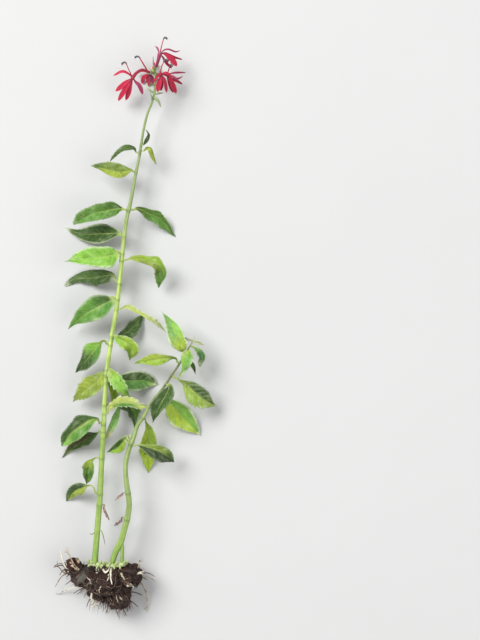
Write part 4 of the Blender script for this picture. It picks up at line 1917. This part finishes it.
BUDS: tuple[tuple[Triple, Triple, float], ...] = (
    ((-43, -233, 30), (-46.4, -236, 30), 1.7),
    ((-40.5, -232.5, 31.5), (-43.5, -229.5, 35), 1.6),
    ((-36, -234.5, 31.5), (-37.4, -237.6, 34), 1.3),
    ((-33, -234.5, 31.5), (-32.2, -238.2, 33), 1.4),
    ((-24.5, -234.5, 31), (-23.4, -230.2, 35), 1.4),
    ((-20, -234.5, 31.5), (-19.4, -238.4, 33), 1.5),
    ((-14, -234, 31.5), (-13.6, -238, 33.5), 1.4),
    ((-10.5, -233, 31), (-8.9, -229.6, 34.5), 1.5),
    ((-44.5, -232, 30), (-47.2, -227.8, 32), 1.8),
    ((-34, -233.5, 31), (-32.3, -228.6, 34), 1.6),
    ((-30.5, -234, 31.5), (-29.3, -228.8, 36), 1.7),
    ((-27.6, -234.5, 31), (-26.9, -229.6, 33), 1.2),
    ((-17, -234, 31.5), (-16.6, -229.5, 35), 1.5),
    ((-8, -232.5, 29.5), (-6.3, -228.6, 32), 1.6),
)

# Lumps that the root ball is melted from: the middle and the three half sizes of each
BALL_MIDDLE: Triple = (-25, -251, 22)
LUMPS: tuple[tuple[Triple, Triple], ...] = (
    ((-27, -250.5, 24), (19, 15.5, 26)), ((-46, -247.5, 20), (16, 11, 22)),
    ((-61, -237.5, 22), (9.5, 8.5, 11)), ((-6.5, -246, 21), (13.5, 11.5, 22.5)),
    ((-17, -265.5, 18), (12, 14, 19.5)), ((-36, -262, 17), (11, 9.5, 15)),
)
LONG_ROOTS: tuple[tuple[Rows, float, Tone], ...] = (
    (((-46, -254, 22), (-62, -260, 14), (-71, -263.5, 6), (-82, -268.6, 1.2)), 0.9, Tone.IVORY),
    (((-2, -252, 20), (6, -254.5, 17), (10.5, -265, 10), (11.4, -277, 4), (10.6, -287, 1.2)),
     0.9, Tone.BONE),
    (((-42, -262, 30), (-42.5, -268, 30), (-38, -274, 26), (-35, -280.5, 21)), 1.1, Tone.IVORY),
    (((-24, -266, 26), (-24.6, -273, 27), (-26.2, -282, 22)), 0.9, Tone.BONE),
    (((-20, -268, 20), (-19.5, -280, 14), (-17.6, -290.6, 6)), 0.8, Tone.HUSK),
    (((-14, -268, 18), (-12.5, -281, 12), (-9.2, -290.4, 3)), 0.8, Tone.HUSK),
    (((-16, -262, 34), (-13.5, -267, 34), (-11, -273, 29)), 0.9, Tone.IVORY),
    (((-62, -239, 27), (-67.5, -237, 32), (-71, -229, 33), (-73.5, -219, 31)), 0.9, Tone.IVORY),
    (((-58, -237, 28), (-61, -231, 32), (-64.5, -223.5, 33), (-68, -218.5, 32)), 0.9, Tone.BONE),
    (((-64, -241, 24), (-70, -243.5, 22), (-75, -240, 18), (-80, -236, 13)), 0.9, Tone.HUSK),
    (((2, -240, 24), (4.5, -235.5, 28), (5, -230.5, 29), (8.4, -229.8, 27)), 0.8, Tone.BONE),
    (((0, -243, 30), (4, -242, 33), (8, -240.6, 33)), 1.7, Tone.IVORY),
)
# Pale roots over the top of the ball: the plan of each and its radius
PALE_ROOTS: tuple[tuple[Rows, float], ...] = (
    (((-37.6, -234), (-36.5, -236.5), (-34.1, -239.5)), 1.2),
    (((-30, -237), (-27.7, -239.8), (-24.8, -238.2), (-24.2, -234.9)), 1.1),
    (((-38.3, -238.8), (-36.8, -240.4), (-34.8, -240.2)), 0.8),
    (((-22.1, -236.5), (-22.4, -240), (-21.6, -245), (-20.4, -250.5)), 1.2),
    (((-24.4, -241), (-24, -243.7), (-25.3, -247.2)), 0.7),
    (((-57.2, -228.4), (-55.6, -230), (-55, -232.6)), 1.7),
    (((-58.2, -236.2), (-56.4, -237.8), (-54.3, -238.6)), 2.1),
    (((-63.9, -231), (-61.5, -233), (-59.3, -236)), 0.8),
    (((-62.8, -234), (-57.2, -238)), 0.6),
    (((-66.3, -240.5), (-63.5, -243)), 0.6),
    (((-5, -249.5), (-2.5, -251), (0.5, -254.5)), 1.1),
    (((-5.4, -252.2), (-2, -253.6), (0.2, -256.4)), 1.5),
    (((-12, -241), (-10.5, -244), (-8.5, -247)), 1.3),
    (((-17.2, -262.6), (-16.4, -267), (-15.1, -271)), 0.6),
    (((-46.5, -244), (-43, -247), (-41.5, -251)), 0.5),
    (((-31, -252), (-33.5, -256), (-33, -260)), 0.5),
)


def main() -> None:
    """Builds the plant piece by piece, then the studio round it."""
    logging.basicConfig(level=logging.INFO, format="%(message)s")
    finishes = Finishes.build()
    main_stem = Stem(
        "stem_main", "main_stem", MAIN_LINE, MAIN_TONES, (*MAIN_LEAVES, *WITHERED_LEAVES[:1])
    )
    side_stem = Stem(
        "stem_side", "side_stem", SIDE_LINE, SIDE_TONES, (*SIDE_LEAVES, *WITHERED_LEAVES[1:]),
        PRONG_LINE,
    )
    for stem in (main_stem, side_stem):
        stem.build(finishes.stem)
        for leaf in stem.leaves:
            dried = leaf.kind is Kind.WITHERED
            leaf.build(stem.spine, finishes.withered_leaf if dried else finishes.leaf)
    head = Form()
    for sprig in (*SPRIGS, *THREADS):
        sprig.add(head, main_stem)
    for flower in FLOWERS:
        flower.calyx(head, main_stem)
        flower.corolla(finishes.petal)
        flower.anthers(finishes.anther)
        flower.tuft(finishes.tuft)
    head.piece("calyces_and_bracts", finishes.stem, "stem_green", "main_stem")
    axils = Form()
    for sprig in AXIL_BUDS:
        sprig.add(axils, side_stem)
    axils.piece("side_buds", finishes.stem, "stem_green", "side_stem")
    Crown(CROWN_LINE, BUDS).build(finishes.stem)
    ball = RootBall(LUMPS, BALL_MIDDLE, LONG_ROOTS, PALE_ROOTS)
    ball.build(finishes.soil, finishes.root)
    Studio().build()


if __name__ == "__main__":
    main()
